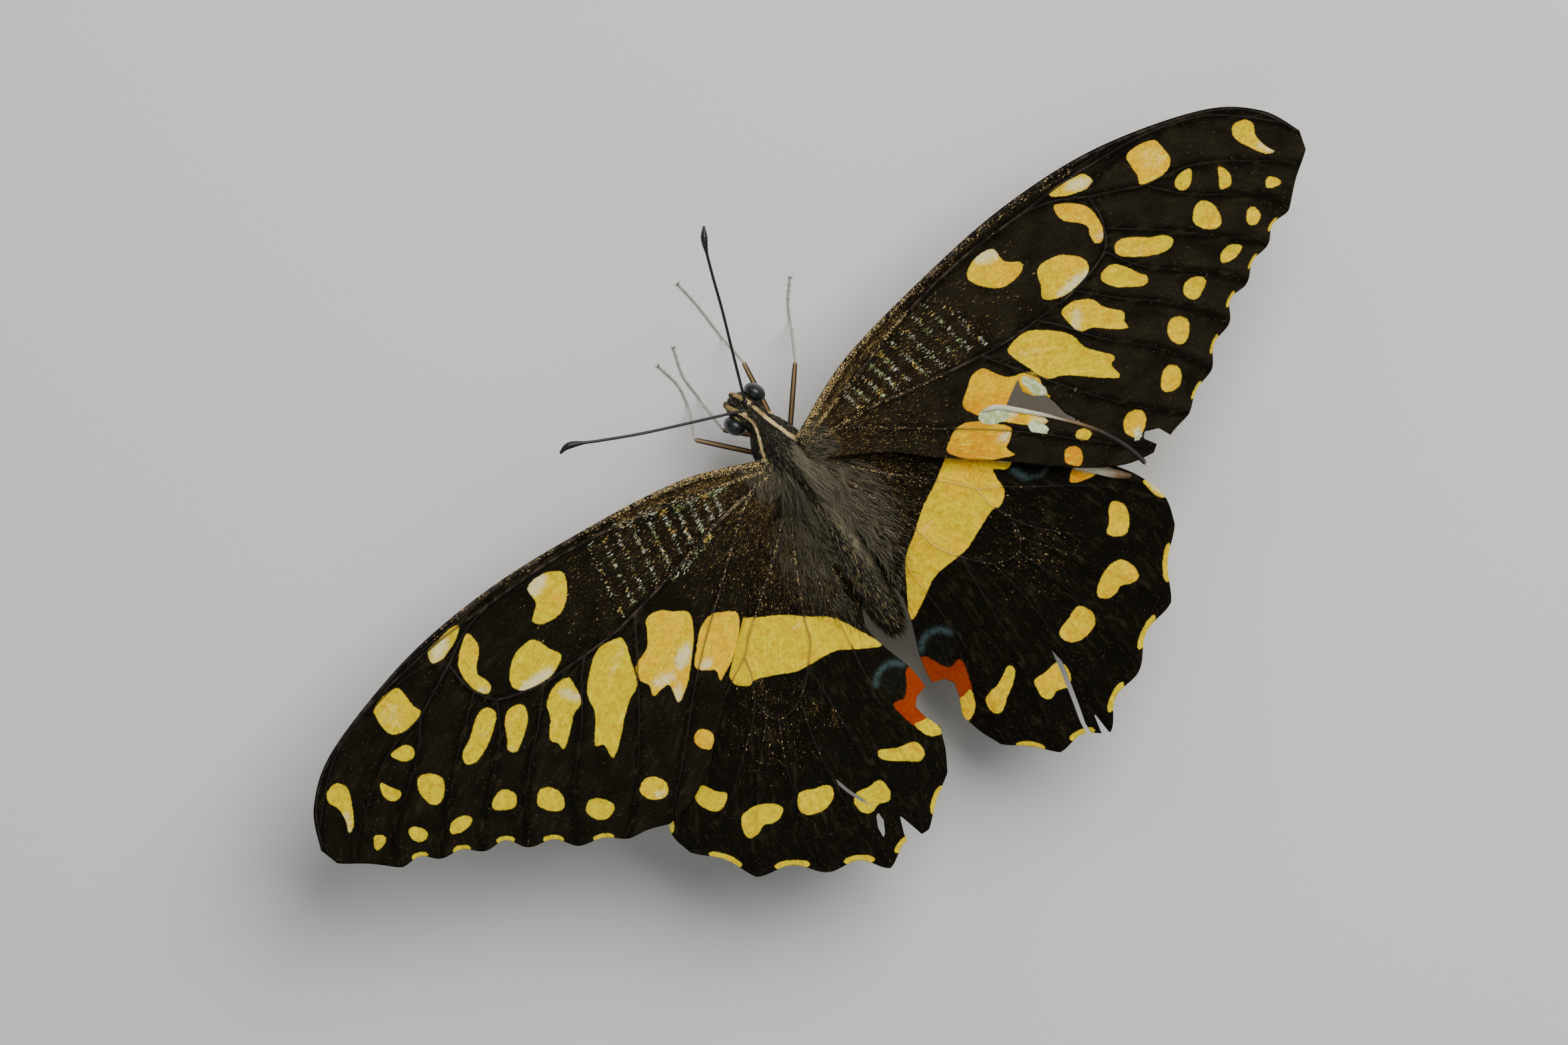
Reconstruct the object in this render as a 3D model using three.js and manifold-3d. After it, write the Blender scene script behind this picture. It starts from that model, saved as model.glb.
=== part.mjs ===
// A citrus swallowtail butterfly, life size, standing on its six feet with its wings spread.
//
// Millimetres. +Z is up, the floor is z = 0, and the head points to -Y.
// A place on the animal is written (side, forward, up): millimetres to its own right of the
// body's middle, towards the head from the line between the two forewing hinges, and above the
// floor. A place on a wing is written [out, forward], where out is measured away from the body
// on either side. The wings are the same on both sides: each one is drawn once, and a `lie`
// says how it is turned, stretched by its tilt, and raised on the left and on the right.
import * as THREE from "three";
import { mergeVertices } from "three/addons/utils/BufferGeometryUtils.js";
import Module from "manifold-3d";

const wasm = await Module();
wasm.setup();

// ---------------------------------------------------------------- driving dimensions
const RIGHT = 1;
const LEFT = -1;
const GAP = 0.1; // air left between two neighbouring pieces
const WING_THICKNESS = 0.5;
const WING_CELL = 3.4; // size of the facets that carry a wing's curve
const SLAB_MARGIN = 1; // how far the slab that a wing is cut from reaches past it
const SCALLOP_STEPS = 8; // facets along the margin from one vein to the next
const PRISM = { foot: -20, height: 60 }; // the upright cutter that gives each wing its outline

const HINGE_OUT = 3.6; // forewing hinge, out from the body's middle
const FOREWING_HINGE_UP = 11.2;
const HINDWING_HINGE_OUT = 3;
const HINDWING_HINGE_UP = 10.1;
const HINDWING_HINGE_BACK = 4;

// The trunk. Each spine runs along the middle of its piece, and `front` and `back` are its ends.
const THORAX = { front: 3.1, back: -4.7, up: 8.9, halfWidth: 2.75, halfHeight: 2.95 };
const THORAX_ENDS_DROP = { front: 0.2, back: 0.5 }; // how far its spine sinks towards each end
const PROTHORAX = { back: [0, 2.2, 8.6], front: [-0.25, 4.4, 8.7], halfWidth: 1.84, halfHeight: 1.66 };
const ABDOMEN = {
  radius: 1.85,
  spine: [[0, -4.3, 8.1], [0.05, -9, 7.7], [-0.2, -15, 7.3], [-0.5, -20.8, 6.9]],
};

// The head, turned by `turn` degrees to the butterfly's left. What it carries is placed from the
// middle of the head along its own three directions.
const HEAD = { at: [-0.53, 4.83, 8.8], halfWidth: 1.75, halfLength: 1.45, halfHeight: 1.55, turn: 25 };
const BROW = { at: [0, 1.05, 0.15], halfWidth: 0.95, halfLength: 0.78, halfHeight: 0.95 };
const EYE = { out: 1.84, up: 0.1, halfWidth: 0.84, halfLength: 1.1, halfHeight: 1.25 };
const PALP = { root: [0.66, 0.9, -1.5], bend: [0.66, 2.1, -1.2], tip: [0.5, 2.1, -0.1], radius: 0.36 };
// The coil's radius shrinks by more than the tube's thickness in each turn, so the turns stay apart.
const PROBOSCIS = { radius: 0.25, turns: 1.2, outer: 1.1, inner: 0.36, forward: 0.7, up: -2.75 };

const ANTENNA = { radius: 0.25, clubRadius: 0.47, clubFrom: 0.82, clubFull: 0.95 };
const FEMUR_RADIUS = 0.4;
const COXA_RADIUS = 1.35 * FEMUR_RADIUS;
const TIBIA_RADIUS = 0.29;
const TARSUS_RADIUS = 0.28;
const FOOT_UP = 0.19; // a foot's middle above the floor, less than its radius, so it has a flat

const COLOURS = {
  wing: 0x1d160e,
  body: 0x2a231b,
  fur: 0x3a3027,
  eye: 0x14272c,
  antenna: 0x0c0b0a,
  femur: 0x4a3520,
  shank: 0xb9b6a8,
  proboscis: 0x15100c,
};

// ---------------------------------------------------------------- the wings' outlines
// The costa is the front edge, from the hinge to the tip. Each tip in `veinTips` is where a vein
// meets the outer margin, and `scallops` gives how deep the margin dips between two of them.
const FOREWING = {
  costa: [
    [1.8, -0.6], [3.6, 0.7], [10, 3.4], [20, 5.4], [30, 6.6],
    [40, 6.2], [50, 3.6], [54.7, 0.4], [56.6, -3.2],
  ],
  veinTips: [
    [56.1, -5], [51.6, -8.75], [48.15, -10.3], [44.6, -12.1],
    [41.1, -14.25], [37.3, -16.9], [33.2, -19.1], [29.3, -20.3],
  ],
  scallops: [0.15, 0.6, 0.5, 0.8, 0.65, 0.4, 0.15],
  hindMargin: [[25.7, -19.6], [21.7, -17.2], [16.8, -13.1], [11.8, -9.2], [7.9, -5.9], [1.8, -2.6]],
};
const HINDWING = {
  innerMargin: [
    [1.2, -4.2], [2.1, -6], [2.3, -9], [2, -14], [1.5, -18.7], [0.9, -20.8], [-0.2, -23.7], [-0.6, -26.2],
  ],
  tornalBite: [[0.6, -26.6], [1.1, -27.4], [0.8, -28.6], [0.3, -29.7]],
  veinTips: [
    [0, -30.6], [1.4, -34.6], [5.5, -38.3], [10.5, -39.4], [15.9, -36.2], [22, -32.6], [26.4, -26.8],
  ],
  scallops: [-0.15, 0.2, 0.8, 0.95, 0.9, 0.5],
  costa: [
    [27.1, -24.2], [26.2, -21.2], [24.5, -18.5], [22.5, -15], [19, -10.8], [15, -7.6], [10, -4.7], [2, -1.8],
  ],
};

// What an old butterfly has lost: a hole worn through the right forewing and its ragged rear
// corner, and the splits in both hindwings between two of the rear veins.
const RIGHT_FOREWING_WEAR = [
  [[19.6, -8.9], [22, -7.4], [21.7, -8.6], [22.3, -9.5], [23.3, -10.1], [23.8, -12.5], [25, -14.7],
   [23.1, -12.3], [20.8, -10]],
  [[29.9, -18.7], [31.6, -21.6], [28.4, -22.6], [27.9, -20.1], [28.5, -20.2], [29.2, -19.7]],
];
const RIGHT_HINDWING_WEAR = [
  [[7.7, -39], [8.5, -36.6], [9.1, -34.4], [9.6, -32.2], [10.3, -30], [10.7, -31.6], [9.9, -33.6],
   [9.3, -35.4], [8.9, -37], [8.4, -39]],
  [[9.4, -40], [10.2, -36.9], [10.4, -40]],
];
const LEFT_HINDWING_WEAR = [
  [[6, -39.5], [6.6, -37.6], [7.35, -35.5], [7.8, -37.2], [8.1, -39.5]],
  [[11, -28.8], [10.3, -30.5], [9.6, -32], [9, -33.6], [9.9, -32.6], [10.6, -31.1], [11.1, -29.6]],
  [[9, -34.1], [8.9, -35], [9.3, -36], [9.7, -36.6], [9.8, -35.3], [9.4, -34.2]],
];

// A wing's lie. `outward` and `forward` say where a millimetre out and a millimetre forward on
// the wing fall in plan once the wing is turned and tilted, and `shift` moves its root. The
// surface then rises by `rise` per mm outward and by `pitch` per mm backward, and a quadratic
// `droop` bends it down towards its tip. `tuck` is how far the costa is rolled under at most.
const LIES = {
  forewing: {
    [RIGHT]: {
      outward: [1, 0], forward: [0, 1], shift: [0, 0],
      rise: 0.13, pitch: 0.04, droop: 0.0008, tuck: 0,
    },
    [LEFT]: {
      outward: [1.007, -0.057], forward: [0.038, 1.051], shift: [-0.655, -0.077],
      rise: 0.12, pitch: 0.03, droop: 0.0006, tuck: 0.7,
    },
  },
  hindwing: {
    [RIGHT]: {
      outward: [1, 0], forward: [0, 1], shift: [0, 0],
      rise: 0.115, pitch: 0.05, droop: 0.0008,
    },
    [LEFT]: {
      outward: [0.991, 0.013], forward: [-0.097, 0.926], shift: [-0.588, -1.861],
      rise: 0.105, pitch: 0.04, droop: 0.0006,
    },
  },
};
const INNER_FOLD = { from: 7, drop: 0.022 }; // the hindwing curls down beside the abdomen

// ---------------------------------------------------------------- the legs
// Each leg goes from its root under the thorax to the knee, the ankle, and along the foot's
// points on the floor. Only the front and middle feet reach past the wings.
const LEGS = {
  fore_right: { root: [1.05, 2.4, 6.9], hip: [1.2, 3.2, 4.9], knee: [1.9, 8.6, 6.9],
    ankle: [1.65, 11.1, 1.1], foot: [[1.6, 12.1], [1.41, 15.7], [1.05, 18.25]] },
  fore_left: { root: [-1.0, 1.9, 6.9], hip: [-1.1, 2.3, 4.8], knee: [-3.3, 4.4, 7.1],
    ankle: [-3.48, 7.4, 1.1], foot: [[-3.42, 8.5], [-3.5, 10.82], [-2.75, 13.5]] },
  mid_right: { root: [1.4, 0.2, 6.9], hip: [1.7, 0.6, 4.8], knee: [5.95, 5.85, 7.3],
    ankle: [7.5, 8.7, 1.1], foot: [[8, 9.7], [8.7, 11], [10.1, 12.7]] },
  mid_left: { root: [-1.4, 0.2, 6.9], hip: [-1.7, 0.6, 4.8], knee: [-6.04, 5.18, 7.3],
    ankle: [-4.9, 7.6, 1.1], foot: [[-4.6, 8.7], [-4.4, 10.6], [-4.9, 12.9]] },
  hind_right: { root: [1.3, -2.2, 6.9], hip: [1.7, -2.6, 4.8], knee: [5.6, -5.6, 7.2],
    ankle: [8.4, -11, 1.1], foot: [[8.8, -12], [9.6, -14.4], [10.6, -17]] },
  hind_left: { root: [-1.3, -2.2, 6.9], hip: [-1.7, -2.6, 4.8], knee: [-5.3, -6, 7.2],
    ankle: [-7.7, -11.6, 1.1], foot: [[-8, -12.6], [-8.8, -15], [-9.4, -17.6]] },
};

// Each antenna's way from its socket on the head to its hooked club.
const ANTENNAE = {
  right: [
    [-0.1, 5.35, 10.1], [1.6, 9.9, 12], [3, 13.6, 13.6], [4.1, 16.8, 14.9], [5.1, 19.4, 15.8],
    [6, 20.9, 15.9],
  ],
  left: [
    [-0.85, 4.85, 10.1], [-4.6, 6.3, 11.8], [-9.6, 8.3, 13.6], [-13.3, 10, 14.7], [-15.8, 11.2, 15.3],
    [-17, 11.1, 15.2],
  ],
};

// ---------------------------------------------------------------- from shapes to solids
// (side, forward, up) as a point of the model.
function at([side, forward, up]) {
  return new THREE.Vector3(-side, -forward, up);
}

// A closed geometry as a manifold solid.
function solid(geometry) {
  const bare = geometry.clone();
  bare.deleteAttribute("normal");
  bare.deleteAttribute("uv");
  const merged = mergeVertices(bare, 1e-5);
  const corners = merged.index.array;
  const kept = [];
  for (let i = 0; i < corners.length; i += 3) {
    const [a, b, c] = [corners[i], corners[i + 1], corners[i + 2]];
    if (a !== b && b !== c && c !== a) kept.push(a, b, c);
  }
  return new wasm.Manifold(
    new wasm.Mesh({
      numProp: 3,
      vertProperties: Float32Array.from(merged.attributes.position.array),
      triVerts: Uint32Array.from(kept),
    }),
  );
}

// A manifold solid as a three.js geometry again.
function geometryOf(shape) {
  const { vertProperties, triVerts } = shape.getMesh();
  const geometry = new THREE.BufferGeometry();
  geometry.setAttribute("position", new THREE.BufferAttribute(vertProperties, 3));
  geometry.setIndex(new THREE.BufferAttribute(triVerts, 1));
  geometry.computeVertexNormals();
  return geometry;
}

// A round piece: a turned profile of [share of the length, radius] carried along a curve, its
// section made `wide` times wider and `high` times higher.
function along(curve, profile, sides, wide = 1, high = 1) {
  const turned = new THREE.LatheGeometry(
    profile.map(([share, radius]) => new THREE.Vector2(radius, share)),
    sides,
  );
  const places = turned.attributes.position;
  const sky = new THREE.Vector3(0, 0, 1);
  for (let i = 0; i < places.count; i++) {
    const share = THREE.MathUtils.clamp(places.getY(i), 0, 1);
    const way = curve.getTangent(share);
    const across = way.clone().cross(sky).normalize();
    const over = across.clone().cross(way);
    const place = curve
      .getPoint(share)
      .addScaledVector(across, places.getX(i) * wide)
      .addScaledVector(over, places.getZ(i) * high);
    places.setXYZ(i, place.x, place.y, place.z);
  }
  return solid(turned);
}

// An egg: a profile whose radius follows (1 - t^2)^power, at `count` stations from tail to nose.
function eggProfile(radius, count, power = 0.5) {
  return Array.from({ length: count + 1 }, (_, i) => {
    const share = 0.5 - 0.5 * Math.cos((Math.PI * i) / count);
    const t = 2 * share - 1;
    return [share, i === 0 || i === count ? 0 : radius * (1 - t * t) ** power];
  });
}

// A place given from the middle of the head along the head's own directions, in the model.
function onHead(place) {
  const turn = THREE.MathUtils.degToRad(HEAD.turn);
  return at(place).applyAxisAngle(new THREE.Vector3(0, 0, 1), turn).add(at(HEAD.at));
}

// A ball on the head, stretched to three half sizes and turned with the head.
function headBall(place, { halfWidth, halfLength, halfHeight }, grow, rows) {
  const ball = new THREE.SphereGeometry(1, 2 * rows, rows);
  ball.scale(halfWidth + grow, halfLength + grow, halfHeight + grow);
  ball.rotateZ(THREE.MathUtils.degToRad(HEAD.turn));
  const centre = onHead(place);
  return solid(ball.translate(centre.x, centre.y, centre.z));
}

// ---------------------------------------------------------------- wings
// The margin between two vein tips: a chord that dips inward by depth * (1 - cos 2 pi t) / 2.
function scallop([x0, y0], [x1, y1], depth, inward) {
  const length = Math.hypot(x1 - x0, y1 - y0);
  const dip = [(-inward * (y1 - y0)) / length, (inward * (x1 - x0)) / length];
  return Array.from({ length: SCALLOP_STEPS }, (_, i) => {
    const t = i / SCALLOP_STEPS;
    const by = (depth * (1 - Math.cos(2 * Math.PI * t))) / 2;
    return [x0 + (x1 - x0) * t + dip[0] * by, y0 + (y1 - y0) * t + dip[1] * by];
  });
}

function margin(tips, depths, inward) {
  return tips.slice(1).flatMap((tip, i) => scallop(tips[i], tip, depths[i], inward));
}

function smooth(points, steps) {
  const curve = new THREE.SplineCurve(points.map(([x, y]) => new THREE.Vector2(x, y)));
  return curve.getPoints(steps).map(({ x, y }) => [x, y]);
}

function forewingOutline(tuck) {
  const span = FOREWING.costa.at(-1)[0];
  const costa = smooth(FOREWING.costa, 20).map(([x, y]) => [
    x,
    y - tuck * Math.sin(Math.PI * (Math.max(0, x) / span) ** 1.5),
  ]);
  return [
    ...costa,
    ...margin(FOREWING.veinTips, FOREWING.scallops, -1),
    ...smooth([FOREWING.veinTips.at(-1), ...FOREWING.hindMargin], 12),
  ];
}

function hindwingOutline() {
  return [
    ...smooth(HINDWING.innerMargin, 12),
    ...HINDWING.tornalBite,
    ...margin(HINDWING.veinTips, HINDWING.scallops, 1),
    ...smooth([HINDWING.veinTips.at(-1), ...HINDWING.costa], 20),
  ];
}

// A point drawn on a wing, put in its place in the model's plan.
function laid([out, forward], lie, hand) {
  const x = lie.outward[0] * out + lie.forward[0] * forward + lie.shift[0];
  const y = lie.outward[1] * out + lie.forward[1] * forward + lie.shift[1];
  return new THREE.Vector2(-hand * x, -y);
}

// An upright prism on an outline, from below the floor to above any wing.
function prism(outline, lie, hand) {
  const shape = new THREE.Shape(outline.map((point) => laid(point, lie, hand)));
  const upright = new THREE.ExtrudeGeometry(shape, { depth: PRISM.height, bevelEnabled: false });
  return solid(upright.translate(0, 0, PRISM.foot));
}

// A wing: its outline stood up as a prism, and cut from a thin slab bent to the wing's height.
function wing(outline, wear, lie, hand, height) {
  let plan = prism(outline, lie, hand);
  for (const lost of wear) plan = plan.subtract(prism(lost, lie, hand));
  const { min, max } = plan.boundingBox();
  const [width, depth] = [max[0] - min[0] + 2 * SLAB_MARGIN, max[1] - min[1] + 2 * SLAB_MARGIN];
  const slab = new THREE.BoxGeometry(
    width, depth, WING_THICKNESS, Math.ceil(width / WING_CELL), Math.ceil(depth / WING_CELL), 1,
  ).translate((min[0] + max[0]) / 2, (min[1] + max[1]) / 2, 0);
  const places = slab.attributes.position;
  for (let i = 0; i < places.count; i++) {
    const [out, back] = [-hand * places.getX(i), places.getY(i)];
    places.setZ(i, places.getZ(i) + height(out, back));
  }
  return plan.intersect(solid(slab));
}

function forewing(hand) {
  const lie = LIES.forewing[hand];
  const height = (out, back) => {
    const reach = out - HINGE_OUT;
    return FOREWING_HINGE_UP + lie.rise * reach + lie.pitch * back - lie.droop * reach * reach;
  };
  return wing(forewingOutline(lie.tuck), hand === RIGHT ? RIGHT_FOREWING_WEAR : [], lie, hand, height);
}

function hindwing(hand) {
  const lie = LIES.hindwing[hand];
  const height = (out, back) => {
    const reach = out - HINDWING_HINGE_OUT;
    const fold = Math.max(0, INNER_FOLD.from - out) ** 2 * INNER_FOLD.drop;
    const tilt = lie.pitch * (back - HINDWING_HINGE_BACK);
    return HINDWING_HINGE_UP + lie.rise * reach + tilt - lie.droop * reach * reach - fold;
  };
  const wear = hand === RIGHT ? RIGHT_HINDWING_WEAR : LEFT_HINDWING_WEAR;
  return wing(hindwingOutline(), wear, lie, hand, height);
}

// ---------------------------------------------------------------- body
function thorax(grow = 0) {
  const spine = new THREE.CatmullRomCurve3([
    at([0, THORAX.back - grow, THORAX.up - THORAX_ENDS_DROP.back]),
    at([0, -1, THORAX.up]),
    at([0, THORAX.front + grow, THORAX.up - THORAX_ENDS_DROP.front]),
  ]);
  const wide = (THORAX.halfWidth + grow) / THORAX.halfHeight;
  return along(spine, eggProfile(THORAX.halfHeight + grow, 12, 0.42), 20, wide, 1 + grow / THORAX.halfHeight);
}

function abdomen(grow = 0) {
  const spine = new THREE.CatmullRomCurve3(ABDOMEN.spine.map(at));
  const profile = [
    [0, 0], [0, 0.7], [0.06, 0.86], [0.18, 0.98], [0.34, 1], [0.5, 0.98], [0.64, 0.95],
    [0.76, 0.9], [0.85, 0.8], [0.92, 0.62], [0.97, 0.38], [1, 0],
  ].map(([share, part]) => [share, part * (ABDOMEN.radius + grow)]);
  return along(spine, profile, 16);
}

// The head capsule with the tuft of its brow.
function head(grow = 0) {
  return headBall([0, 0, 0], HEAD, grow, 9).add(headBall(BROW.at, BROW, grow, 6));
}

function eye(hand, grow = 0) {
  return headBall([hand * EYE.out, 0, EYE.up], EYE, grow, 9);
}

// The narrow ring behind the head that carries the front legs.
function prothorax() {
  const spine = new THREE.LineCurve3(at(PROTHORAX.back), at(PROTHORAX.front));
  return along(spine, eggProfile(1, 8, 0.4), 14, PROTHORAX.halfWidth, PROTHORAX.halfHeight);
}

function palp(hand) {
  const place = ([side, forward, up]) => onHead([hand * side, forward, up]);
  const points = [PALP.root, PALP.bend, PALP.tip].map(place);
  return along(new THREE.QuadraticBezierCurve3(...points), eggProfile(PALP.radius, 8, 0.4), 8);
}

// The drinking tube, coiled like a watch spring under the head between the two palps.
function proboscis() {
  class Coil extends THREE.Curve {
    getPoint(share) {
      const angle = share * PROBOSCIS.turns * 2 * Math.PI;
      const radius = THREE.MathUtils.lerp(PROBOSCIS.outer, PROBOSCIS.inner, share);
      const forward = PROBOSCIS.forward + radius * Math.sin(angle);
      return onHead([0, forward, PROBOSCIS.up + radius * Math.cos(angle)]);
    }
  }
  const steps = 22;
  const profile = Array.from({ length: steps + 1 }, (_, i) => [i / steps, PROBOSCIS.radius]);
  return along(new Coil(), [[0, 0], ...profile, [1, 0]], 6);
}

function antenna(points) {
  const curve = new THREE.CatmullRomCurve3(points.map(at));
  const radius = (share) => {
    const t = THREE.MathUtils.smoothstep(share, ANTENNA.clubFrom, ANTENNA.clubFull);
    return THREE.MathUtils.lerp(ANTENNA.radius, ANTENNA.clubRadius, t);
  };
  const steps = 18;
  const profile = Array.from({ length: steps }, (_, i) => {
    const share = (i / steps) * 0.99;
    return [share, radius(share)];
  });
  return along(curve, [[0, 0], ...profile, [0.985, ANTENNA.clubRadius * 0.7], [1, 0]], 6);
}

// ---------------------------------------------------------------- legs
// A rod from one joint to the next, thickest at `belly`, stopping short of both.
function rod(from, to, radius, belly) {
  const [a, b] = [at(from), at(to)];
  const length = a.distanceTo(b);
  const trim = (radius + GAP) / length;
  const curve = new THREE.LineCurve3(a.clone().lerp(b, trim), b.clone().lerp(a, trim * 0.3));
  const profile = [[0, 0], [0, 0.7], [0.12, 0.92], [belly, 1], [0.85, 0.88], [0.97, 0.8], [1, 0]];
  return along(curve, profile.map(([share, part]) => [share, part * radius]), 8);
}

function foot({ ankle, foot: ground }) {
  const points = [ankle, ...ground.map(([side, forward]) => [side, forward, FOOT_UP])].map(at);
  const curve = new THREE.CatmullRomCurve3(points);
  const start = (TARSUS_RADIUS + GAP) / curve.getLength();
  const steps = 9;
  const profile = Array.from({ length: steps + 1 }, (_, i) => {
    const share = start + ((1 - start) * i) / steps;
    return [share, TARSUS_RADIUS * (i === steps ? 0.75 : 1)];
  });
  const tube = along(curve, [[start, 0], ...profile, [1, 0]], 8);
  const floor = new THREE.BoxGeometry(100, 100, 4).translate(0, 0, -2);
  return tube.subtract(solid(floor));
}

// ---------------------------------------------------------------- assembly
const butterfly = new THREE.Group();

function add(name, shape, colour, roughness = 0.8) {
  const material = new THREE.MeshStandardMaterial({ color: COLOURS[colour], roughness, metalness: 0 });
  const mesh = new THREE.Mesh(geometryOf(shape), material);
  mesh.name = name;
  butterfly.add(mesh);
}

const sides = [["right", RIGHT], ["left", LEFT]];
const thoraxWithGap = thorax(GAP);
const headWithGap = head(GAP);
const eyesWithGap = eye(RIGHT, GAP).add(eye(LEFT, GAP));
const trunkWithGap = thoraxWithGap.add(abdomen(GAP));

add("thorax", thorax().subtract(eyesWithGap), "fur");
add("abdomen", abdomen().subtract(thoraxWithGap), "body");
add("prothorax", prothorax().subtract(thoraxWithGap).subtract(headWithGap).subtract(eyesWithGap), "fur");
add("head", head().subtract(eyesWithGap), "fur");
for (const [side, hand] of sides) {
  add(`eye_${side}`, eye(hand), "eye", 0.15);
  add(`palp_${side}`, palp(hand).subtract(headWithGap), "fur");
  add(`antenna_${side}`, antenna(ANTENNAE[side]).subtract(headWithGap), "antenna", 0.4);
  add(`forewing_${side}`, forewing(hand).subtract(trunkWithGap), "wing");
  add(`hindwing_${side}`, hindwing(hand).subtract(trunkWithGap), "wing");
}
add("proboscis", proboscis().subtract(headWithGap), "proboscis", 0.4);
for (const [name, leg] of Object.entries(LEGS)) {
  const coxa = rod(leg.root, leg.hip, COXA_RADIUS, 0.5);
  add(`coxa_${name}`, coxa.subtract(thoraxWithGap), "fur");
  add(`femur_${name}`, rod(leg.hip, leg.knee, FEMUR_RADIUS, 0.35), "femur", 0.5);
  add(`tibia_${name}`, rod(leg.knee, leg.ankle, TIBIA_RADIUS, 0.6), "shank", 0.6);
  add(`tarsus_${name}`, foot(leg), "shank", 0.6);
}

// The origin is on the floor, under the middle of the whole outline.
const middle = new THREE.Box3().setFromObject(butterfly).getCenter(new THREE.Vector3());
butterfly.position.set(-middle.x, -middle.y, 0);

export default butterfly;
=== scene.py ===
# %% [markdown]
# # A citrus swallowtail, life size
# This lesson dresses a plain butterfly frame with the looks of the real animal: four scaled wings
# with their veins and yellow markings, a furry body, glossy eyes, and jointed legs. Every shape is
# worked out with numpy from a few named sizes, and every finish is made of shader nodes.

# %% Load the fixed frame
import bpy
import numpy as np
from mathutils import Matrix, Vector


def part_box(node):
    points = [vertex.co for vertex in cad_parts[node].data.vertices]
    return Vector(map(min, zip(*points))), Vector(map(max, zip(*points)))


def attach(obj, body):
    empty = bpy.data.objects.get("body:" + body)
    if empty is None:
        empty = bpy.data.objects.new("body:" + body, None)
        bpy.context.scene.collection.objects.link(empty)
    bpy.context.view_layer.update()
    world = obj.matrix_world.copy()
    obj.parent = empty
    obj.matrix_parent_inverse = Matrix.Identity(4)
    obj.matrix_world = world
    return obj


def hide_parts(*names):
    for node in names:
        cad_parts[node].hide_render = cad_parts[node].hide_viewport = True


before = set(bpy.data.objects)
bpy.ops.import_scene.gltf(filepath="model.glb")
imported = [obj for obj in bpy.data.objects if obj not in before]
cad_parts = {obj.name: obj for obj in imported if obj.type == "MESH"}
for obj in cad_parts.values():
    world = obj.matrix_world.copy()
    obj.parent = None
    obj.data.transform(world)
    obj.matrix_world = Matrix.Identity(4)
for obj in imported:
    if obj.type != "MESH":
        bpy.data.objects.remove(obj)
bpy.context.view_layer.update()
MM = 0.001

# %% [markdown]
# ## Where things are
# All sizes below are millimetres on the animal. A place is (side, forward, up): to the
# butterfly's own right, towards its head from the line between its two forewing hinges, and above
# the floor. The frame's head points to -Y, so side and forward both change sign on the way in.

# %% From the animal's directions to the model's
RIGHT, LEFT = 1, -1
SIDES = (("right", RIGHT), ("left", LEFT))
THORAX_BACK = 4.7
low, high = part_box("thorax")
HINGE_LINE = np.array([(low.x + high.x) / 2, high.y - THORAX_BACK * MM, 0.0])


def place(points):
    """(side, forward, up) in mm to model metres: X = -side, Y = -forward, Z = up, from the hinges."""
    return np.asarray(points, float) * [-MM, -MM, MM] + HINGE_LINE


print("hinge line at", np.round(HINGE_LINE / MM, 2))

# %% [markdown]
# ## Meshes from arrays
# A mesh is three lists: where the points are, which points each face joins, and what each point
# carries (here single numbers, such as how far it is from a yellow spot). `foreach_set` copies a
# whole numpy array into the mesh at once, which is far quicker than adding faces one by one.

# %% Put arrays into a Blender piece
def make_piece(name, points, faces, material, replaces=(), fields=None, uv=None):
    """A smooth mesh of points (side, forward, up) in mm and arrays of faces, riding on the body."""
    mesh = bpy.data.meshes.new(name)
    faces = [np.asarray(f, np.int32) for f in faces if len(f)]
    corners = np.concatenate([f.ravel() for f in faces])
    sizes = np.concatenate([np.full(len(f), f.shape[1], np.int32) for f in faces])
    mesh.vertices.add(len(points))
    mesh.vertices.foreach_set("co", np.asarray(place(points), np.float32).ravel())
    mesh.loops.add(len(corners))
    mesh.loops.foreach_set("vertex_index", corners)
    mesh.polygons.add(len(sizes))
    mesh.polygons.foreach_set("loop_start", (np.cumsum(sizes) - sizes).astype(np.int32))
    mesh.polygons.foreach_set("use_smooth", np.ones(len(sizes), bool))
    mesh.update(calc_edges=True)
    for key, per_point in (uv or {}).items():
        layer = mesh.uv_layers.new(name=key)
        layer.data.foreach_set("uv", np.asarray(per_point, np.float32)[corners].ravel())
    for key, values in (fields or {}).items():
        attribute = mesh.attributes.new(key, "FLOAT", "POINT")
        attribute.data.foreach_set("value", np.asarray(values, np.float32).ravel())
    mesh.materials.append(material)
    piece = bpy.data.objects.new(name, mesh)
    bpy.context.scene.collection.objects.link(piece)
    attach(piece, "root")
    if replaces:
        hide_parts(*replaces)
    print(f"{name}: {int((sizes - 2).sum())} triangles")
    return piece


def join(parts):
    """Several (points, faces, fields) as one: faces count on from the points of the parts before."""
    starts = np.cumsum([0] + [len(points) for points, _, _ in parts])
    points = np.concatenate([points for points, _, _ in parts])
    faces = [np.asarray(f) + start for (_, fs, _), start in zip(parts, starts) for f in fs]
    keys = parts[0][2].keys()
    fields = {key: np.concatenate([np.ravel(part[2][key]) for part in parts]) for key in keys}
    return points, faces, fields


two_points = (np.zeros((2, 3)), [np.zeros((0, 3), int)], {"share": [0, 1]})
print("two joined parts have", len(join([two_points, two_points])[0]), "points")


# %% [markdown]
# ## Curves and tubes
# Veins, legs and feelers are all tubes: a curve through a few chosen points, and a ring of points
# round it at each step. The curve is a Catmull-Rom spline, which passes through every point.

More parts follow.
